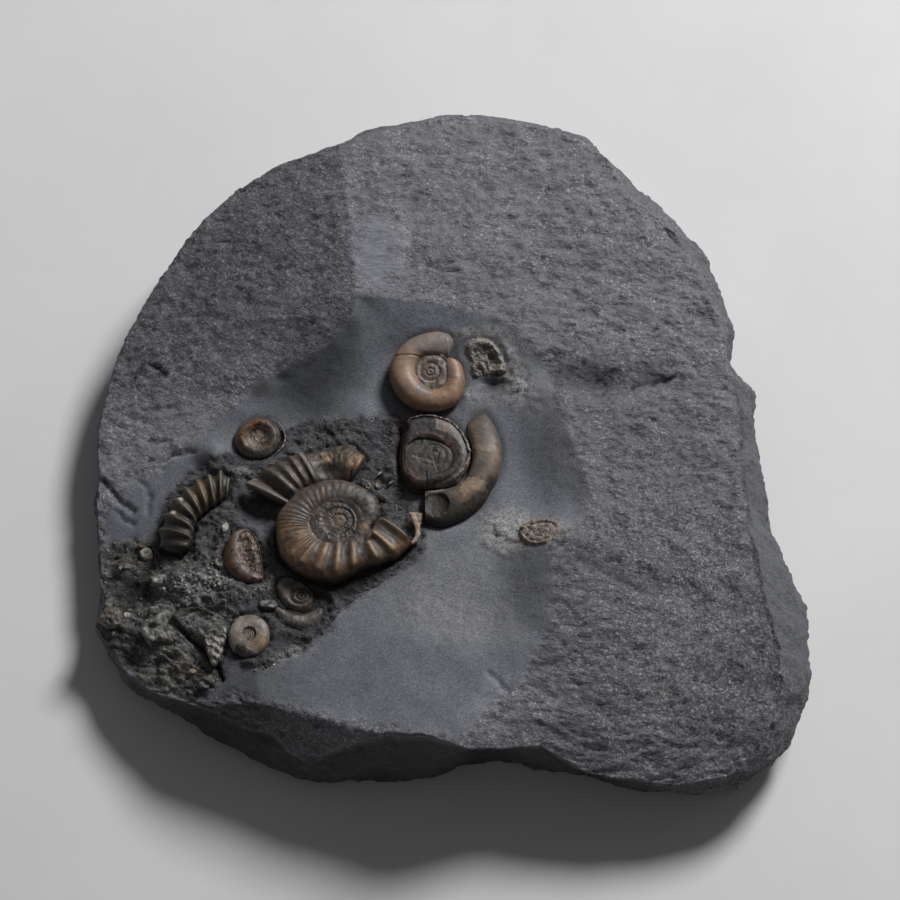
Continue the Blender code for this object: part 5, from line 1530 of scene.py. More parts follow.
def main_outer_whorl():
    plane = flat_plane(MAIN_MIDDLE, (0.05, 0.0), 28.2)
    ribs = rib_train([0.0, 1.55, 2.5, 3.45, 4.6, 8.3], ([0, 9], [1.2, 1.3]))
    inner, outer = widened(ARC_INNER, ARC_OUTER, 0.12)
    places, faces, v = whorl(inner, outer, plane, [(0, 1.3), (0.2, 2.8), (0.5, 3.3), (1, 2.6)], 3.4, 340, 60, ribs,
                             0.5, grain=0.09, flat=0.6, seed=2.0, ends=("flat", "flat"))
    grow, over, up, crest = v["grow"], v["over"], v["up"], v["crest"]
    s = grow * 9
    # Past the last sharp rib the shell is broken open, and brown calcite stands round a smooth grey hollow
    x, y = places[:, 0].copy(), places[:, 1].copy()
    top = smooth_step(up / 0.4)
    broken = smooth_step((s - 4.85) / 0.3) * smooth_step((8.9 - s) / 0.4)
    low = broken * spot(x, y, ARC_HOLLOW) * top
    block = spot(x, y, ARC_BLOCK) * top
    lumps = facets(places, 1.9, 8.0)
    streak = fractal(places, 0.9, 3, 14.0)
    places[:, 2] += top * broken * (1 - low) * (0.24 * lumps + 0.14 * streak - 0.5) - 1.3 * low + 0.7 * block
    # The first end is hollowed like the inside of a shell
    places[:, 2] -= 1.0 * np.exp(-((s - 0.65) / 0.35) ** 2) * top * smooth_step(over / 0.2)
    mottle = fractal(places, 2.4, 3, 12.0)
    orange = spots(x, y, ARC_ORANGE) * smooth_step((mottle + 0.35) / 0.3) * top
    painted_highlight = spots(x, y, ARC_PAINTED_HIGHLIGHTS) * top
    tone = 0.32 + 0.02 * (crest - 0.4) + 0.16 * mottle + 0.12 * streak - 0.22 * low + 0.30 * orange + 0.14 * block
    # Painted shade on the underside
    tone -= 0.55 * smooth_step((0.1 - up) / 0.5)
    warm = 0.18 + 0.25 * mottle + 1.0 * orange + 0.35 * block * (1 + lumps) - 0.5 * low - 0.3 * np.exp(-(s / 0.5) ** 2)
    pale = 0.35 * np.exp(-(s / 0.35) ** 2) + 0.6 * smooth_step((crest - 0.85) / 0.12) * np.exp(-((s - 4.6) / 0.3) ** 2)
    pale += 0.7 * painted_highlight + 0.35 * block * smooth_step((lumps - 0.05) / 0.2)
    return dressed("main_outer_whorl", (places, faces, v), tone, warm, pale,
                   fossil_material("outer_whorl_shell", **BROWNS), "calcite_brown", "ammonite_main_outer_whorl")


# ---------------------------------------------------------------- the smooth ammonite
SMOOTH_MIDDLE = (-4.0, 12.3)
SMOOTH_INNER = [
    (-0.7, 15.6), (-0.9, 14.1), (-0.7, 12.1), (-0.7, 10.2), (-1.6, 8.7), (-3.0, 7.9), (-4.8, 8.1), (-6.3, 9.1),
    (-7.5, 10.6), (-8.2, 12.1), (-8.0, 14.1), (-7.2, 15.4), (-5.9, 16.2), (-4.5, 16.3), (-2.7, 16.3),
    (-0.9, 16.3), (0.0, 16.5),
]
SMOOTH_OUTER = [
    (0.9, 15.5), (2.5, 14.1), (3.3, 11.4), (3.3, 8.7), (2.0, 5.7), (-0.5, 4.1), (-4.1, 3.4), (-8.0, 4.1),
    (-11.3, 6.4), (-13.1, 9.5), (-13.7, 12.1), (-13.1, 15.2), (-11.5, 17.9), (-9.1, 20.0), (-5.9, 21.3),
    (-2.3, 21.7), (1.3, 20.5),
]


SMOOTH_SEAMS = [((-4.3, 12.2), 3.9, 4.1), ((-4.5, 12.2), 2.15, 2.1), ((-4.5, 12.2), 0.9, 0.85)]


def smooth_coil():
    plane = flat_plane(SMOOTH_MIDDLE, (0.03, 0.1), 33.5)
    inner, outer = widened(SMOOTH_INNER, SMOOTH_OUTER, 0.10)
    last = whorl(inner, outer, plane, [(0, 1.6), (0.15, 2.4), (0.5, 3.2), (1, 2.5)],
                 [(0, 2.0), (1, 3.6)], 340, 54, grain=0.035, flat=0.85, seed=5.0)
    centre = (-4.2, 12.2)

    def dish(rho, turn, x, y):
        ring, share, _ = nested(x, y, SMOOTH_SEAMS)
        return 0.95 + 0.30 * rho + 0.30 * back(share, 0.8) + 0.1 * (ring > 1.5)

    core = disc(centre, ellipse(centre, 4.5, 4.6), plane, dish, 3.4,
                rings=56, columns=170, grain=0.10, seed=6.0)
    core[2]["grow"] = np.zeros(len(core[0]))
    places, faces, v = kinds(last, core)
    first = v["part"] == 0
    grow, over, up = v["grow"], v["over"], v["up"]
    mottle = fractal(places, 5.0, 3, 61.0)
    streak = fractal(places, 1.2, 3, 66.0)
    # A constriction crosses the whorl near the top left, and past it the shell is mauve-grey
    dent = np.exp(-((grow - 0.70) / 0.007) ** 2) * first
    places[:, 2] -= 0.18 * dent * (up > 0)
    grey = smooth_step((grow - 0.70) / 0.10)
    grey_belly = np.exp(-((grow - 0.42) / 0.05) ** 2) * smooth_step((0.7 - over) / 0.3)
    warm = 0.88 - 0.62 * grey + 0.3 * mottle - 0.5 * grey_belly + 0.25 * smooth_step((over - 0.75) / 0.2)
    # Painted shade: darker in the constriction's groove
    tone = 0.64 + 0.10 * mottle + 0.05 * streak - 0.3 * dent - 0.04 * grey
    # Painted shade on the underside
    tone -= 0.55 * smooth_step((0.15 - up) / 0.5)
    pale = 0.25 * np.exp(-((grow - 0.6) / 0.10) ** 2) * smooth_step((0.9 - over) / 0.3) + 0.15 * grey
    ring, share, _ = nested(places[:, 0], places[:, 1], SMOOTH_SEAMS)
    seam = np.exp(-(np.minimum(share, 1 - share) / 0.12) ** 2) * (ring < 1.5)
    calm = ring > 0.5
    # The core's underside is darker: painted shade
    tone = np.where(first, tone, 0.35 + np.where(calm, 0.12, 0.20) * streak - 0.2 * seam - 0.5 * (up < 0))
    warm = np.where(first, warm, 0.30 + 0.3 * mottle + 0.20 * calm)
    pale = np.where(first, pale, np.where(calm, 0.10, 0.08 + 0.45 * smooth_step((streak - 0.08) / 0.25)))
    palette = dict(BROWNS, mid=(0.110, 0.096, 0.092), light=(0.210, 0.186, 0.178), warm_mid=(0.160, 0.090, 0.052),
                   warm_light=(0.345, 0.215, 0.135))
    material = fossil_material("smooth_shell", gloss=(0.42, 0.56), bump=0.6, **palette)
    return dressed("smooth_coil", (places, faces, v), tone, warm, pale, material, "calcite_orange", "ammonite_smooth")


# ---------------------------------------------------------------- the right ammonite and its body chamber
RIGHT_MIDDLE = (-3.6, -6.6)
RIGHT_EDGE = [
    (-11.3, 1.0), (-8.8, 2.7), (-6.1, 3.2), (-3.2, 3.0), (-0.8, 2.2), (1.1, 1.0), (2.7, -0.7), (3.9, -2.8), (4.6, -5.0),
    (4.7, -7.1), (4.0, -9.2), (2.9, -11.0), (1.3, -12.9), (-1.4, -14.0), (-3.4, -14.2), (-5.1, -14.6),
    (-7.1, -15.0), (-9.0, -14.2), (-10.2, -12.5), (-11.0, -10.4), (-11.4, -7.7), (-11.2, -4.6), (-10.9, -2.5),
    (-10.9, -1.1),
]
RIGHT_DISC = [
    (-8.2, -3.3), (-7.1, -2.9), (-5.1, -2.9), (-3.4, -3.3), (-1.8, -3.9), (0.0, -5.4), (0.7, -7.3), (0.1, -9.4),
    (-1.0, -10.6), (-2.6, -11.3), (-5.1, -11.9), (-7.7, -11.9), (-9.6, -10.6), (-10.2, -8.5), (-10.2, -6.0),
    (-9.4, -4.4),
]
CHAMBER_INNER = [
    (5.2, 2.7), (4.0, 0.8), (4.0, -1.3), (4.6, -3.3), (5.0, -5.3), (5.0, -7.5), (4.4, -10.0), (3.5, -11.9),
    (1.9, -13.3), (0.1, -14.1), (-1.6, -14.4), (-3.4, -14.6), (-5.6, -14.8),
]
CHAMBER_OUTER = [
    (7.7, 3.6), (9.3, 1.5), (10.6, -1.3), (11.4, -4.1), (11.6, -6.9), (11.4, -9.4), (10.7, -12.1), (9.1, -15.0),
    (7.7, -17.5), (5.2, -19.8), (2.1, -21.7), (-1.8, -23.1), (-5.6, -22.2),
]


RIGHT_SEAMS = [((-4.9, -7.3), 5.4, 4.5), ((-4.1, -7.0), 3.2, 2.6), ((-3.9, -7.1), 1.4, 1.2)]
CRACK_ARC = [(-8.3, -3.5), (-7.6, -2.5), (-6.4, -2.0), (-4.9, -2.0), (-3.2, -2.4), (-2.0, -3.2)]
BEAD_LINE = [
    (-9.6, 1.3), (-8.4, 2.1), (-6.0, 2.5), (-3.3, 2.3), (-1.0, 1.5), (0.7, 0.4), (2.2, -1.2), (3.4, -3.2), (4.1, -5.2),
    (4.3, -7.1), (3.6, -9.2), (2.5, -10.9), (1.4, -12.3),
]
PINK_PATCH = [(-1.8, -1.6), (-1.7, 0.2), (-0.4, 1.2), (1.0, 0.2), (1.0, -1.4), (0.2, -1.9)]
CHAMBER_PATCH = [(2.6, -13.8), (4.0, -12.3), (6.6, -12.6), (8.0, -13.8), (8.3, -15.4), (5.8, -15.6), (3.0, -16.6), (2.2, -15.6)]
CHAMBER_RUST = [(1.6, -16.9), (3.6, -16.6), (5.6, -15.7), (7.4, -15.5), (8.5, -15.6)]


def right_coil():
    plane = flat_plane(RIGHT_MIDDLE, (0.04, 0.0), 30.5)

    def dish(rho, turn, x, y):
        from_rim = np.maximum(signed_depth(x, y, RIGHT_EDGE), 0.0)
        in_disc = signed_depth(x, y, RIGHT_DISC)
        flank = from_rim / np.maximum(from_rim + np.maximum(-in_disc, 0.0), 0.01)
        round_rim = np.sqrt(1 - (1 - np.clip(from_rim / 2.4, 0, 1)) ** 2)
        outer_whorl = 2.35 * round_rim + 0.45 * back(flank) - 0.25
        lip = 0.12 * np.exp(-(far_from_line(x, y, CRACK_ARC) / 0.45) ** 2) * (in_disc < 0)
        step = 0.50 * smooth_step((y + 6.5) / 2.5) + 0.10
        ring, share, _ = nested(x, y, RIGHT_SEAMS)
        inner_whorl = 2.30 - step + 0.20 * back(share, 0.8) * (0.3 + 0.7 * smooth_step((x + 4.5) / 2.5)) - 0.04 * ring
        mix = smooth_step(in_disc / 0.25 + 0.5)
        crack = 0.35 * np.exp(-((x + 5.3 + 0.08 * np.sin(2 * y)) / 0.13) ** 2) * smooth_step((-10.6 - y) / 0.6)
        notch = 2.0 * np.exp(-(((x + 10.5) / 1.0) ** 2 + ((y + 0.1) / 1.3) ** 2) ** 2)
        plate = 0.10 * smooth_step(signed_depth(x, y, PINK_PATCH) / 0.2 + 0.5)
        return (outer_whorl + lip) * (1 - mix) + inner_whorl * mix - crack - notch + plate

    body = disc(RIGHT_MIDDLE, RIGHT_EDGE, plane, dish, 4.0, rings=112, columns=310, grain=0.05, seed=7.0)
    beads = strip([(x, y, plane(x, y) + 2.05) for x, y in BEAD_LINE], [(0, 0.35), (0.5, 0.55), (1, 0.7)], 0.7, rows=170,
                  seed=78.0, grain=0.22)
    places, faces, v = parts = kinds(body, beads)
    over, up = v["over"], v["up"]
    x, y = places[:, 0], places[:, 1]
    mottle = fractal(places, 3.0, 4, 71.0)
    streak = fractal(places, 0.9, 3, 76.0)
    in_disc = signed_depth(x, y, RIGHT_DISC)
    from_rim = signed_depth(x, y, RIGHT_EDGE)
    ring, share, _ = nested(x, y, RIGHT_SEAMS)
    arc = far_from_line(x, y, CRACK_ARC)
    lip = np.exp(-(arc / 0.42) ** 2) * (in_disc < 0.05)
    shadow = np.exp(-(arc / 0.55) ** 2) * (in_disc > 0.05)
    rusty = np.exp(-(((x + 9.9) / 0.8) ** 2 + ((y + 10.6) / 2.0) ** 2))
    rusty += 0.9 * np.exp(-(((x + 1.0) / 1.1) ** 2 + ((y + 2.9) / 1.2) ** 2)) + 0.4 * np.exp(-((x + 11.1) / 0.6) ** 2)
    rusty += 0.5 * np.exp(-(((x - 0.7) / 0.8) ** 2 + ((y + 5.0) / 1.6) ** 2))
    maroon = np.exp(-((((x + 7.4) / 2.2) ** 2 + ((y + 13.2) / 1.3) ** 2)) ** 2)
    maroon += 0.5 * np.exp(-(((x + 6.4) / 1.9) ** 2 + ((y + 5.4) / 1.3) ** 2))
    pink = smooth_step(signed_depth(x, y, PINK_PATCH) / 0.15 + 0.5)
    slate = np.exp(-(((x - 2.6) / 1.5) ** 2 + ((y + 5.2) / 4.2) ** 2))
    warm = 0.15 + 0.25 * mottle + 1.1 * rusty + 1.0 * lip + 0.75 * pink + 0.75 * maroon - 0.4 * slate
    tone = 0.08 + 0.08 * (in_disc > 0) + 0.16 * mottle + 0.14 * streak + 0.10 * rusty + 0.02 * lip + 0.30 * pink - 0.12 * maroon
    # Painted shadow under the crack's lip, and painted shade on the underside
    tone += -0.22 * slate - 0.34 * shadow - 0.5 * smooth_step(-up / 0.4)
    tone += 0.07 * np.exp(-(((x + 3) / 3) ** 2 + ((y - 1.6) / 1.2) ** 2))
    beads = np.exp(-((from_rim - 0.30) / 0.32) ** 2) * (x > -4.5) * smooth_step((y + 12.5) / 1.0)
    beads *= 0.30 + 0.70 * smooth_step((fractal(places, 0.7, 2, 79.0) + 0.02) / 0.15)
    line = np.exp(-((share - 0.03) / 0.07) ** 2) * (ring < 0.5) * (x > -3.2)
    cracks = np.exp(-(((y + 8.0 + 0.35 * (x + 6)) / 0.22) ** 2)) * (np.abs(x + 6.0) < 2.4)
    cracks += np.exp(-(((x + 3.5 + 0.25 * (y + 9)) / 0.22) ** 2)) * (np.abs(y + 9.2) < 1.9)
    cracks += 0.7 * np.exp(-((far_from_line(x, y, PINK_PATCH + PINK_PATCH[:1])) / 0.14) ** 2)
    spot_pale = np.exp(-(((x + 3.0) / 1.0) ** 2 + ((y + 6.7) / 0.9) ** 2)) * smooth_step((streak + 0.02) / 0.1)
    pale = 0.85 * beads + 0.55 * line + 0.05 * smooth_step(streak / 0.3) + 0.35 * spot_pale + 0.35 * cracks
    pale = np.where(up < 0.5, 0.08, pale)
    rim_shell = v["part"] == 1
    gaps = smooth_step((fractal(places, 0.8, 2, 79.0) + 0.15) / 0.15)
    tone = np.where(rim_shell, 0.45 + 0.35 * gaps, tone)
    warm = np.where(rim_shell, 0.30 + 0.4 * mottle, warm)
    pale = np.where(rim_shell, 0.75 * gaps * smooth_step((x + 10.5) / 4.0), pale)
    return dressed("right_coil", parts, tone, warm, pale, fossil_material("right_coil_shell", gloss=(0.5, 0.68), **GREYS),
                   "calcite_brown", "ammonite_right_coil")


def body_chamber():
    plane = flat_plane(RIGHT_MIDDLE, (0.05, 0.09), 30.1)
    places, faces, v = whorl(CHAMBER_INNER, CHAMBER_OUTER, plane, [(0, 0.5), (0.16, 2.2), (0.35, 3.3), (1, 3.2)],
                             [(0, 2.2), (1, 3.4)], 290, 56, grain=0.05, flat=0.62, seed=9.0, ends=("round", "flat"))
    grow, over, up = v["grow"], v["over"], v["up"]
    x, y = places[:, 0], places[:, 1]
    mottle = fractal(places, 4.0, 3, 81.0)
    streak = fractal(places, 0.8, 3, 83.0)
    bands = 0.5 + 0.5 * np.cos(grow * 62 + 2.2 * mottle)
    hollow = np.hypot((x + 3.1) / 3.0, (y + 18.3) / 2.7) + 0.05 * streak
    wall = (hollow < 1) & (up > 0)
    places[:, 2] -= np.where(wall, 1.1 * np.sqrt(np.clip(1 - hollow ** 2, 0, 1)) + 0.10, 0)
    # lower: the lower, outer side of the chamber, which gets painted shade
    lower = smooth_step((over - 0.64) / 0.12) * smooth_step((grow - 0.46) / 0.12)
    patch = smooth_step((signed_depth(x, y, CHAMBER_PATCH) + 0.5 * streak) / 0.25 + 0.5) * (up > 0)
    rust = np.exp(-((far_from_line(x, y, CHAMBER_RUST) + 0.25 * streak) / 0.34) ** 2) * (up > 0)
    green = np.exp(-(((x - 8.8) / 0.8) ** 2 + ((y + 15.0) / 0.8) ** 2))
    wedge = np.exp(-((((x + 3.2) / 2.2) ** 2 + ((y + 14.9) / 0.6) ** 2)) ** 2)
    crown = np.exp(-((grow - 0.34) / 0.17) ** 2)
    warm = 0.20 + 0.20 * mottle + 0.55 * patch + 1.0 * rust + 0.20 * crown + 0.3 * wedge
    # Painted shade: the lower, outer side is much darker, and so is the underside
    tone = 0.38 + 0.10 * mottle + 0.07 * (bands - 0.5) + 0.26 * patch + 0.20 * crown - 0.80 * lower - 0.05 * rust
    tone += 0.2 * wedge - 0.14 * green - 0.5 * smooth_step((0.15 - up) / 0.5)
    ending = smooth_step((grow - 0.74) / 0.14) * (1 - patch) * (1 - 0.7 * wedge)
    tone -= 0.40 * ending
    warm -= 0.12 * ending
    tone -= 0.10 * np.exp(-((grow - 0.20) / 0.012) ** 2) + 0.10 * np.exp(-((grow - 0.40) / 0.015) ** 2)
    tone += 0.20 * lower * smooth_step((fractal(places, (2.5, 0.5, 0.6), 2, 87.0) - 0.15) / 0.1)
    pale = 0.20 * patch + 0.20 * crown * smooth_step((0.9 - over) / 0.2) + 0.4 * wedge
    pale += 0.08 * smooth_step(streak / 0.3) * (1 - ending)
    edge = np.exp(-((hollow - 1.06) / 0.07) ** 2) * (up > 0)
    tone = np.where(wall, -0.10 + 0.08 * streak + 0.05 * np.cos(9 * hollow), tone - 0.05 * edge)
    warm = np.where(wall, 0.0, warm - 0.2 * edge)
    pale = np.where(wall, 0.0, pale + 0.05 * edge)
    return dressed("body_chamber", (places, faces, v), tone, warm, pale,
                   fossil_material("body_chamber_shell", gloss=(0.52, 0.68), bump=0.7, mid=(0.080, 0.069, 0.063),
                                   **{key: value for key, value in BROWNS.items() if key != "mid"}),
                   "calcite_orange", "ammonite_right_body_chamber")


# ---------------------------------------------------------------- the ribbed arc
ARM_INNER = [
    (-49.8, -14.2), (-51.4, -14.6), (-52.8, -15.5), (-54.4, -16.3), (-55.8, -17.3), (-56.8, -18.2),
    (-57.6, -19.7), (-57.9, -21.7), (-58.1, -23.9), (-57.9, -26.3),
]
ARM_OUTER = [
    (-49.1, -9.4), (-51.4, -8.3), (-54.0, -8.9), (-56.5, -9.7), (-59.0, -10.9), (-61.1, -12.6),
    (-63.1, -15.3), (-64.5, -18.5), (-65.3, -21.9), (-65.4, -25.6),
]


def ribbed_arc():
    plane = flat_plane((-52.2, -22.4), (0.26, 0.05), 22.2)
    ribs = rib_train([0.2, 1.15, 2.15, 3.2, 4.35, 5.5, 6.6, 7.6, 8.6], ([0, 9], [1.5, 1.5]))
    places, faces, v = whorl(ARM_INNER, ARM_OUTER, plane, [(0, 3.0), (0.3, 3.3), (0.8, 2.7), (1, 2.0)], 3.0, 340, 60,
                             ribs, 0.8, grain=0.06, flat=0.8, seed=11.0)
    grow, over, up, crest = v["grow"], v["over"], v["up"], v["crest"]
    mottle = fractal(places, 3.0, 3, 91.0)
    streak = fractal(places, 0.8, 3, 93.0)
    lower = smooth_step((grow - 0.5) / 0.3)
    tone = 0.16 + 0.62 * crest * (1 - 0.45 * lower) + 0.14 * mottle + 0.12 * streak - 0.06 * lower
    tone -= 0.22 * smooth_step((grow - 0.78) / 0.14)
    # Painted shade: darker underneath and towards the outer edge
    tone -= 0.5 * smooth_step((0.05 - up) / 0.4) + 0.18 * smooth_step((over - 0.75) / 0.2)
    warm = 0.10 + 0.25 * mottle + 0.9 * np.exp(-(((grow - 0.36) / 0.13) ** 2)) * (1 - 0.7 * crest)
    x, y = places[:, 0], places[:, 1]
    pale = 0.15 * smooth_step((crest - 0.85) / 0.15)
    for knob_x, knob_y in ((-60.9, -14.2), (-62.5, -17.2)):
        knob = np.exp(-(np.hypot(x - knob_x, y - knob_y) / 0.62) ** 4) * (up > 0)
        places[:, 2] += 0.40 * knob
        pale = np.maximum(pale, knob)
        tone = np.maximum(tone, 0.9 * knob)
    return dressed("ribbed_arc", (places, faces, v), tone, warm, pale, fossil_material("ribbed_arc_shell", **GREENS),
                   "calcite_dark", "ammonite_ribbed_arc")


# ---------------------------------------------------------------- the small fossils
def small_coil():
    """A low ring with a pale hollow middle, brown-orange at its upper left, and a beaded line of shell beside it."""
    middle = (-43.4, -0.5)
    plane = flat_plane(middle, (0.1, 0.1), 25.9)

    def ring(rho, turn, x, y):
        high = 0.5 + 0.5 * np.cos(turn - math.radians(125))
        crest = np.exp(-((rho - 0.70) / 0.22) ** 2)
        rim = np.sqrt(1 - np.clip((rho - 0.72) / 0.28, 0, 1) ** 2)
        hollow = smooth_step((0.5 - rho) / 0.16)
        ring_in, share, _ = nested(x, y, [((-43.3, -0.6), 2.4, 2.1), ((-43.2, -0.6), 1.3, 1.1), ((-43.2, -0.6), 0.5, 0.4)])
        inner = 0.12 * back(share) * (rho < 0.5)
        return (0.75 + (0.45 + 0.65 * high) * crest) * rim * (1 - 0.25 * hollow) - 0.25 * hollow * (1 - rho) + inner

    body = disc(middle, ellipse(middle, 5.2, 4.6), plane, ring, 3.0, rings=62, columns=180, grain=0.09, seed=21.0)
    turn = np.linspace(math.radians(62), math.radians(-48), 12)
    path = [(middle[0] + 6.2 * math.cos(t), middle[1] + 5.1 * math.sin(t), 26.5) for t in turn]
    bead = strip(path, 0.38, 0.35, rows=90, seed=23.0, grain=0.18)
    places, faces, v = kinds(body, bead)
    x, y = places[:, 0] - middle[0], places[:, 1] - middle[1]
    rho = np.hypot(x / 5.2, y / 4.6)
    mottle = fractal(places, 1.6, 3, 101.0)
    streak = fractal(places, 0.7, 3, 103.0)
    core = smooth_step((0.52 - rho) / 0.1)
    rust = smooth_step((-0.62 * x + 0.78 * y + 0.8) / 3.2) * (1 - core)
    low = smooth_step((-y - 1.8) / 2.0) * (1 - core)
    # The underside is darker: painted shade
    tone = 0.24 + 0.08 * rust + 0.22 * mottle + 0.16 * streak + 0.08 * core - 0.5 * (v["up"] < 0)
    warm = 0.10 + 1.05 * rust + 0.2 * mottle + 0.38 * core
    pale = 0.28 * core * smooth_step((mottle + 0.25) / 0.3) + 0.2 * low + 0.12 * smooth_step(streak / 0.3)
    far = v["part"] == 1
    palette = dict(BROWNS, warm_dark=(0.03, 0.013, 0.006), warm_mid=(0.135, 0.062, 0.028), warm_light=(0.34, 0.19, 0.10))
    return dressed("small_coil", (places, faces, v), np.where(far, 0.5, tone), np.where(far, 0.1, warm),
                   np.where(far, 0.4, pale), fossil_material("small_coil_shell", **palette), "calcite_orange",
                   "ammonite_small")


HALF_OUTLINE = [
    (-47.2, -21.8), (-48.8, -22.6), (-50.2, -24.9), (-50.9, -27.5), (-50.6, -29.9), (-49.5, -32.0), (-47.7, -34.0),
    (-45.5, -34.9), (-43.2, -34.7), (-41.9, -34.0), (-41.9, -31.3), (-42.3, -28.2), (-42.8, -25.8), (-43.9, -23.4),
    (-45.5, -21.9),
]
HALF_CRESCENT = [
    (-47.7, -23.5), (-48.0, -25.6), (-48.0, -28.0), (-47.6, -30.2), (-46.1, -32.4), (-44.1, -33.8), (-42.1, -34.4),
]


def far_from_line(x, y, line):
    return np.minimum.reduce([line_distance(x, y, a, b) for a, b in zip(line, line[1:])])


def half_coil():
    """The broken half: a round red-brown back with a pale band, and a rough hollow beside it."""
    middle = (-46.2, -28.6)
    plane = flat_plane(middle, (0.15, 0.0), 24.4)
    right_side = HALF_CRESCENT + [(-41.9, -31.3), (-42.3, -28.2), (-42.8, -25.8), (-43.9, -23.4), (-45.5, -21.9)]

    def height(rho, turn, x, y):
        rim = np.maximum(signed_depth(x, y, HALF_OUTLINE), 0.0)
        band = far_from_line(x, y, HALF_CRESCENT)
        hollow = smooth_step(signed_depth(x, y, right_side) / 0.5)
        left = 2.3 * np.sqrt(1 - (1 - np.clip(rim / 2.6, 0, 1)) ** 2)
        rough = 0.40 * facets(np.stack([x, y, 0 * x], 1), 1.7, 14.0)
        right = 1.7 * np.sqrt(np.clip(rim / 1.4, 0, 1)) - 0.7 * smooth_step((band - 0.5) / 0.8) + rough
        return left * (1 - hollow) + right * hollow

    parts = disc(middle, HALF_OUTLINE, plane, height, 2.6, rings=66, columns=200, grain=0.06, seed=13.0)
    places, faces, v = parts
    x, y = places[:, 0], places[:, 1]
    hollow = smooth_step(signed_depth(x, y, right_side) / 0.5)
    band = np.exp(-(far_from_line(x, y, HALF_CRESCENT) / 0.85) ** 2)
    mottle = fractal(places, 1.4, 4, 141.0)
    streak = fractal(places, 0.6, 3, 143.0)
    # The underside is darker: painted shade
    tone = (1 - hollow) * (0.27 + 0.20 * mottle) + hollow * (0.20 + 0.4 * streak) + 0.15 * band - 0.5 * (v["up"] < 0)
    warm = (1 - hollow) * (1.0 - 0.8 * band + 0.3 * mottle) + hollow * (0.60 + 0.6 * mottle)
    pale = 0.60 * band * smooth_step((mottle + 0.4) / 0.3) + 0.35 * hollow * smooth_step((streak - 0.12) / 0.2)
    pale += 0.20 * (1 - hollow) * smooth_step((y + 25.5) / 2.0)
    palette = dict(BROWNS, warm_dark=(0.035, 0.016, 0.008), warm_mid=(0.13, 0.064, 0.030),
                   warm_light=(0.32, 0.185, 0.095), pale=(0.30, 0.26, 0.24))
    return dressed("half_coil", parts, tone, warm, pale, fossil_material("half_coil_shell", **palette),
                   "calcite_orange", "ammonite_half")


SHADED_DISC = [
    (-39.1, -35.9), (-38.5, -34.3), (-37.1, -33.3), (-35.3, -33.6), (-32.6, -35.0), (-30.6, -37.4), (-30.4, -39.3),
    (-31.5, -41.2), (-33.3, -41.9), (-35.8, -41.0), (-37.6, -39.3),
]
SHADED_INNER = [(-38.6, -38.6), (-37.2, -40.2), (-35.6, -41.3), (-33.3, -41.9), (-31.4, -41.3), (-30.2, -39.9),
                (-29.8, -38.4)]
SHADED_OUTER = [(-40.2, -39.4), (-39.2, -42.4), (-36.8, -45.0), (-33.2, -46.2), (-29.8, -45.2), (-27.5, -42.6),
                (-27.1, -39.4)]


def shaded_coil():
    middle = (-34.0, -37.9)
    plane = flat_plane(middle, (0.05, 0.0), 25.0)

    def height(rho, turn, x, y):
        ring, share, _ = nested(x, y, [((-34.0, -38.0), 4.4, 3.7), ((-33.4, -38.3), 2.3, 1.9), ((-33.3, -38.3), 1.0, 0.9)])
        rim = np.sqrt(1 - np.clip((rho - 0.7) / 0.3, 0, 1) ** 2)
        return (1.30 + 0.40 * back(share, 0.8) - 0.05 * ring) * rim

    body = disc(middle, SHADED_DISC, plane, height, 2.6, rings=46, columns=150, grain=0.08, seed=22.0)
    outer = whorl(SHADED_INNER, SHADED_OUTER, flat_plane(middle, (0.05, 0.0), 24.2),
                  [(0, 0.8), (0.4, 2.0), (1, 1.4)], 2.2, 190, 36, grain=0.07, seed=25.0)
    places, faces, v = kinds(body, outer)
    mottle = fractal(places, 1.8, 3, 111.0)
    streak = fractal(places, 0.7, 3, 113.0)
    crest = np.where(v["part"] == 1, np.exp(-((v["over"] - 0.35) / 0.2) ** 2), 0.5)
    left = smooth_step((-35.2 - places[:, 0]) / 2.0) * (v["part"] == 0)
    # Painted highlight along the outer whorl's back, and painted shade on the underside
    tone = 0.58 + 0.14 * mottle + 0.14 * streak + 0.22 * (crest - 0.5) + 0.10 * left
    tone -= 0.5 * smooth_step(-v["up"] / 0.4)
    warm = 0.16 + 0.2 * mottle - 0.2 * (v["part"] == 1)
    return dressed("shaded_coil", (places, faces, v), tone, warm, 0.18 * left + 0.1 * smooth_step(streak / 0.3),
                   fossil_material("shaded_coil_shell", **GREYS), "calcite_dark", "ammonite_shaded")


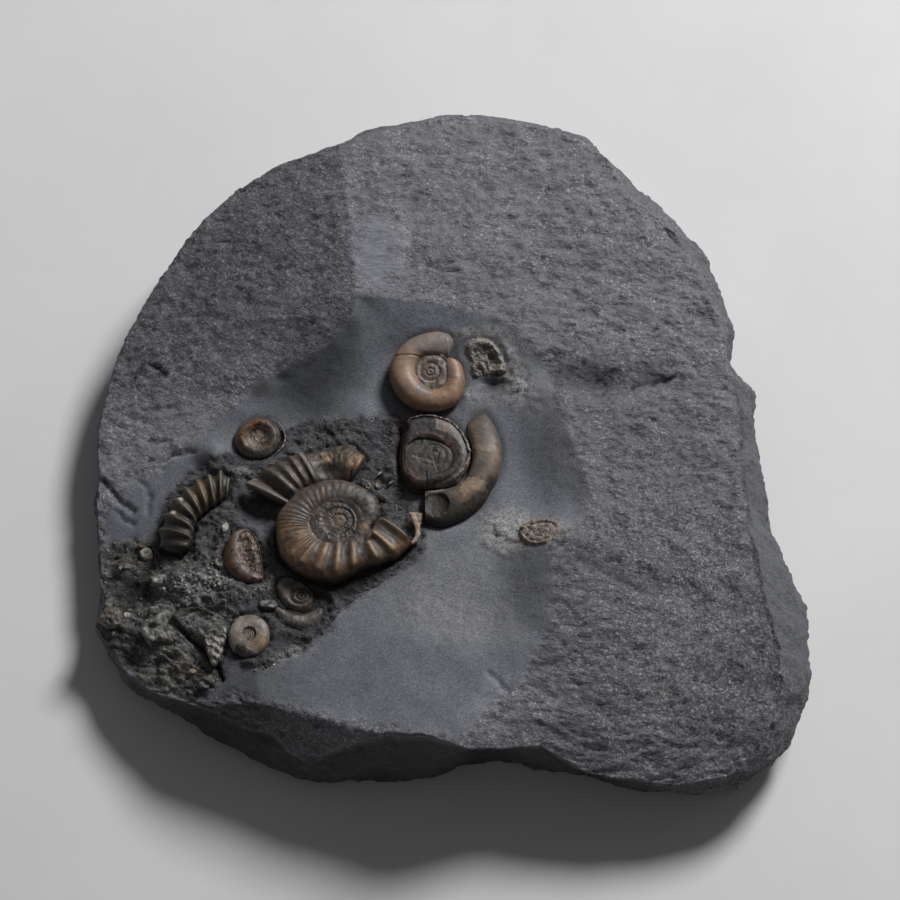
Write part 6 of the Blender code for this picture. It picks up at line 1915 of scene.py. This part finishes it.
def pale_disc():
    middle = (-44.9, -47.1)
    plane = flat_plane(middle, (0.1, 0.0), 24.6)

    def height(rho, turn, x, y):
        hole = smooth_step((0.36 - rho) / 0.07)
        steps = 0.10 * np.cos(rho * 60) * (rho < 0.32)
        rim = np.sqrt(1 - np.clip((rho - 0.55) / 0.45, 0, 1) ** 2)
        swell = 0.10 * np.cos(turn * 3 + 1.0) * rho
        return (1.65 + swell) * rim - 0.50 * hole + 0.6 * steps

    parts = disc(middle, ellipse(middle, 4.65, 4.95), plane, height, 3.0, rings=62, columns=180, grain=0.05,
                 seed=23.0)
    places, faces, v = parts
    x, y = places[:, 0] - middle[0], places[:, 1] - middle[1]
    mottle = fractal(places, 1.8, 4, 121.0)
    streak = fractal(places, 0.7, 3, 123.0)
    rho = np.hypot(x / 4.65, y / 4.95)
    core = smooth_step((0.40 - rho) / 0.06)
    dark = np.exp(-(((x + 1.6) / 2.0) ** 2 + ((y + 3.6) / 1.3) ** 2) ** 1.5)
    tan = np.exp(-(((x - 2.8) / 1.9) ** 2 + ((y + 2.0) / 1.9) ** 2))
    grey = np.exp(-(((x - 1.2) / 1.6) ** 2 + ((y - 3.0) / 1.6) ** 2))
    light = np.exp(-(((x + 2.6) / 1.8) ** 2 + ((y - 2.4) / 2.4) ** 2))
    lines = np.exp(-((y + 3.7 + 0.5 * (x - 0.8)) / 0.22) ** 2) * (x > -0.6) * (x < 2.2)
    lines += np.exp(-((x + 3.4 - 0.3 * (y + 3)) / 0.22) ** 2) * (y < -2.2)
    tone = 0.50 + 0.18 * mottle + 0.12 * streak - 0.16 * core - 0.45 * dark - 0.14 * grey + 0.2 * light
    warm = 0.22 + 0.7 * tan + 0.1 * mottle - 0.3 * grey
    pale = 0.25 * light + 0.7 * lines
    # Painted shade on the underside
    tone -= 0.5 * smooth_step(-v["up"] / 0.4)
    return dressed("pale_disc", parts, tone, warm, pale, fossil_material("pale_disc_shell", **CREAMS),
                   "calcite_pale", "ammonite_pale_disc")


def on_stone(rise):
    """Height of the stone's own surface at given places, raised by some millimetres."""
    def height(x, y):
        found = []
        for px, py in zip(np.atleast_1d(x), np.atleast_1d(y)):
            hit = ground.ray_cast(Vector((px * MM, py * MM, 0.1)), Vector((0, 0, -1)))
            found.append(hit[0].z / MM + rise)
        return np.array(found)
    return height


def worn_coil():
    """A worn coil, nearly level with the stone round it: only faint whorls show."""
    middle = (20.0, -25.8)
    plane = on_stone(-0.05)

    def height(rho, turn, x, y):
        ring, share, _ = nested(x, y, [((20.2, -26.0), 3.4, 2.5), ((20.4, -26.0), 1.8, 1.3), ((20.4, -26.0), 0.7, 0.5)])
        rim = 1 - smooth_step((rho - 0.72) / 0.28)
        return (0.40 + 0.50 * back(share, 0.7) * rho ** 0.4) * rim

    parts = disc(middle, ellipse(middle, 5.0, 3.9), plane, height, 2.2, rings=58, columns=180, grain=0.20,
                 seed=24.0)
    places, faces, v = parts
    mottle = fractal(places, 1.4, 4, 131.0)
    streak = fractal(places, 0.6, 3, 133.0)
    # The underside is darker: painted shade
    tone = 0.50 + 0.2 * mottle + 0.22 * streak - 0.3 * smooth_step(-v["up"] / 0.4)
    palette = dict(CREAMS, light=(0.25, 0.235, 0.21), mid=(0.135, 0.125, 0.112), pale=(0.34, 0.32, 0.28))
    return dressed("worn_coil", parts, tone, 0.22 + 0.2 * mottle, 0.35 * smooth_step(streak / 0.3),
                   fossil_material("worn_coil_shell", gloss=(0.6, 0.8), **palette), "calcite_pale", "ammonite_worn")


CRUST_OUTLINE = [
    (3.0, 18.9), (5.0, 20.1), (7.6, 20.2), (10.0, 19.0), (11.6, 16.7), (12.8, 14.1), (13.0, 11.7), (11.6, 10.1),
    (9.4, 10.0), (7.0, 10.7), (5.0, 11.5), (4.2, 13.3), (4.4, 15.5), (3.4, 17.1),
]


def crusty_whorl():
    """A pale crust with the arc of a whorl round a pitted middle."""
    middle = (8.2, 15.1)
    plane = on_stone(-0.05)

    def pit(x, y):
        return np.exp(-(((x - 10.1) / 3.0) ** 2 + ((y - 10.9) / 1.3) ** 2) ** 1.5)

    def height(rho, turn, x, y):
        arc = np.exp(-((rho - 0.74) / 0.17) ** 2) * smooth_step((np.cos(turn - math.radians(50)) + 0.5) / 0.6)
        rim = 1 - smooth_step((rho - 0.72) / 0.28)
        rough = facets(np.stack([x, y, 0 * x], 1), 1.5, 15.0)
        return (0.55 + 0.75 * arc + 0.50 * rough) * rim - 0.9 * pit(x, y)

    parts = disc(middle, CRUST_OUTLINE, plane, height, 2.4, rings=68, columns=220, grain=0.22, seed=15.0)
    places, faces, v = parts
    mottle = fractal(places, 1.1, 4, 151.0)
    streak = fractal(places, 0.5, 3, 153.0)
    x, y = places[:, 0], places[:, 1]
    arc = np.exp(-((v["over"] - 0.74) / 0.15) ** 2) * (np.cos(v["turn"] - math.radians(60)) > -0.3)
    # The underside is darker: painted shade
    tone = 0.44 + 0.35 * mottle + 0.25 * streak + 0.25 * arc - 0.6 * pit(x, y) - 0.3 * smooth_step(-v["up"] / 0.4)
    palette = dict(CREAMS, light=(0.27, 0.262, 0.255), mid=(0.15, 0.145, 0.142), pale=(0.34, 0.32, 0.30))
    return dressed("crusty_whorl", parts, tone, 0.12 + 0.3 * mottle, 0.3 * smooth_step(streak / 0.3),
                   fossil_material("crusty_shell", gloss=(0.6, 0.8), **palette), "calcite_pale",
                   "ammonite_crusty_whorl")


# ---------------------------------------------------------------- everything in its place
stone = build_stone()
hand_over(stone, stone_material(), "limestone", "limestone_matrix")
stone_mesh = stone.data
ground = BVHTree.FromPolygons([v.co[:] for v in stone_mesh.vertices], [tuple(p.vertices) for p in stone_mesh.polygons])
GRIT = dict(dark=(0.012, 0.012, 0.012), mid=(0.070, 0.069, 0.068), light=(0.24, 0.235, 0.225), warm=(1.25, 0.85, 0.5))
crust = build_crust(ground)
hand_over(crust, stone_material(), "limestone")
crust_mesh = crust.data
ground = BVHTree.FromPolygons(
    [v.co[:] for v in stone_mesh.vertices] + [v.co[:] for v in crust_mesh.vertices],
    [tuple(p.vertices) for p in stone_mesh.polygons]
    + [tuple(k + len(stone_mesh.vertices) for k in p.vertices) for p in crust_mesh.polygons])
for name, build, pale_colour in (
        ("bank_grains", bank_grains, (0.30, 0.295, 0.285)), ("rubble_grains", rubble_grains, (0.42, 0.415, 0.40)),
        ("shell_pieces", shell_pieces, (0.40, 0.37, 0.33))):
    grain_places, grain_faces, grain_values = build(ground)
    loose = make_piece(name, grain_places, grain_faces, grain_values, smooth=name == "shell_pieces")
    hand_over(loose, grain_material(name + "_calcite", pale=pale_colour, **GRIT), "limestone")
main_coil()
main_outer_whorl()
smooth_coil()
right_coil()
body_chamber()
ribbed_arc()
half_coil()
crusty_whorl()
small_coil()
shaded_coil()
pale_disc()
worn_coil()

# ---------------------------------------------------------------- floor, light and camera
bpy.ops.mesh.primitive_plane_add(size=6.0, location=(0, 0, 0))
floor = bpy.context.object
floor.name = "floor"
floor.data.materials.append(floor_material())

world = bpy.data.worlds.new("studio")
bpy.context.scene.world = world
world.use_nodes = True
world.node_tree.nodes["Background"].inputs["Color"].default_value = (1.0, 1.0, 1.0, 1.0)
world.node_tree.nodes["Background"].inputs["Strength"].default_value = 0.11


def soft_light(name, azimuth, elevation, distance, size, energy, target=(0, -0.005, 0.02)):
    data = bpy.data.lights.new(name, "AREA")
    data.shape = "DISK"
    data.size = size
    data.energy = energy
    lamp = bpy.data.objects.new(name, data)
    a, e = math.radians(azimuth), math.radians(elevation)
    offset = Vector((math.cos(e) * math.cos(a), math.cos(e) * math.sin(a), math.sin(e))) * distance
    lamp.location = Vector(target) + offset
    lamp.rotation_euler = (-offset).to_track_quat("-Z", "Y").to_euler()
    bpy.context.scene.collection.objects.link(lamp)


soft_light("key", 52, 44, 1.1, 0.36, 14.5)

CAMERA_ELEVATION = 70.0
LENS = 250.0
SENSOR = 36.0
FRAME_WIDTH = 0.2025
camera_data = bpy.data.cameras.new("camera")
camera_data.lens = LENS
camera_data.sensor_width = SENSOR
camera = bpy.data.objects.new("camera", camera_data)
bpy.context.scene.collection.objects.link(camera)
view_target = Vector((0.0, -0.00484, 0.030))
view_distance = FRAME_WIDTH * LENS / SENSOR
tilt = math.radians(CAMERA_ELEVATION)
view_offset = Vector((0, -math.cos(tilt), math.sin(tilt))) * view_distance
camera.location = view_target + view_offset
camera.rotation_euler = (-view_offset).to_track_quat("-Z", "Y").to_euler()
bpy.context.scene.camera = camera

bpy.context.scene.view_settings.view_transform = "Standard"
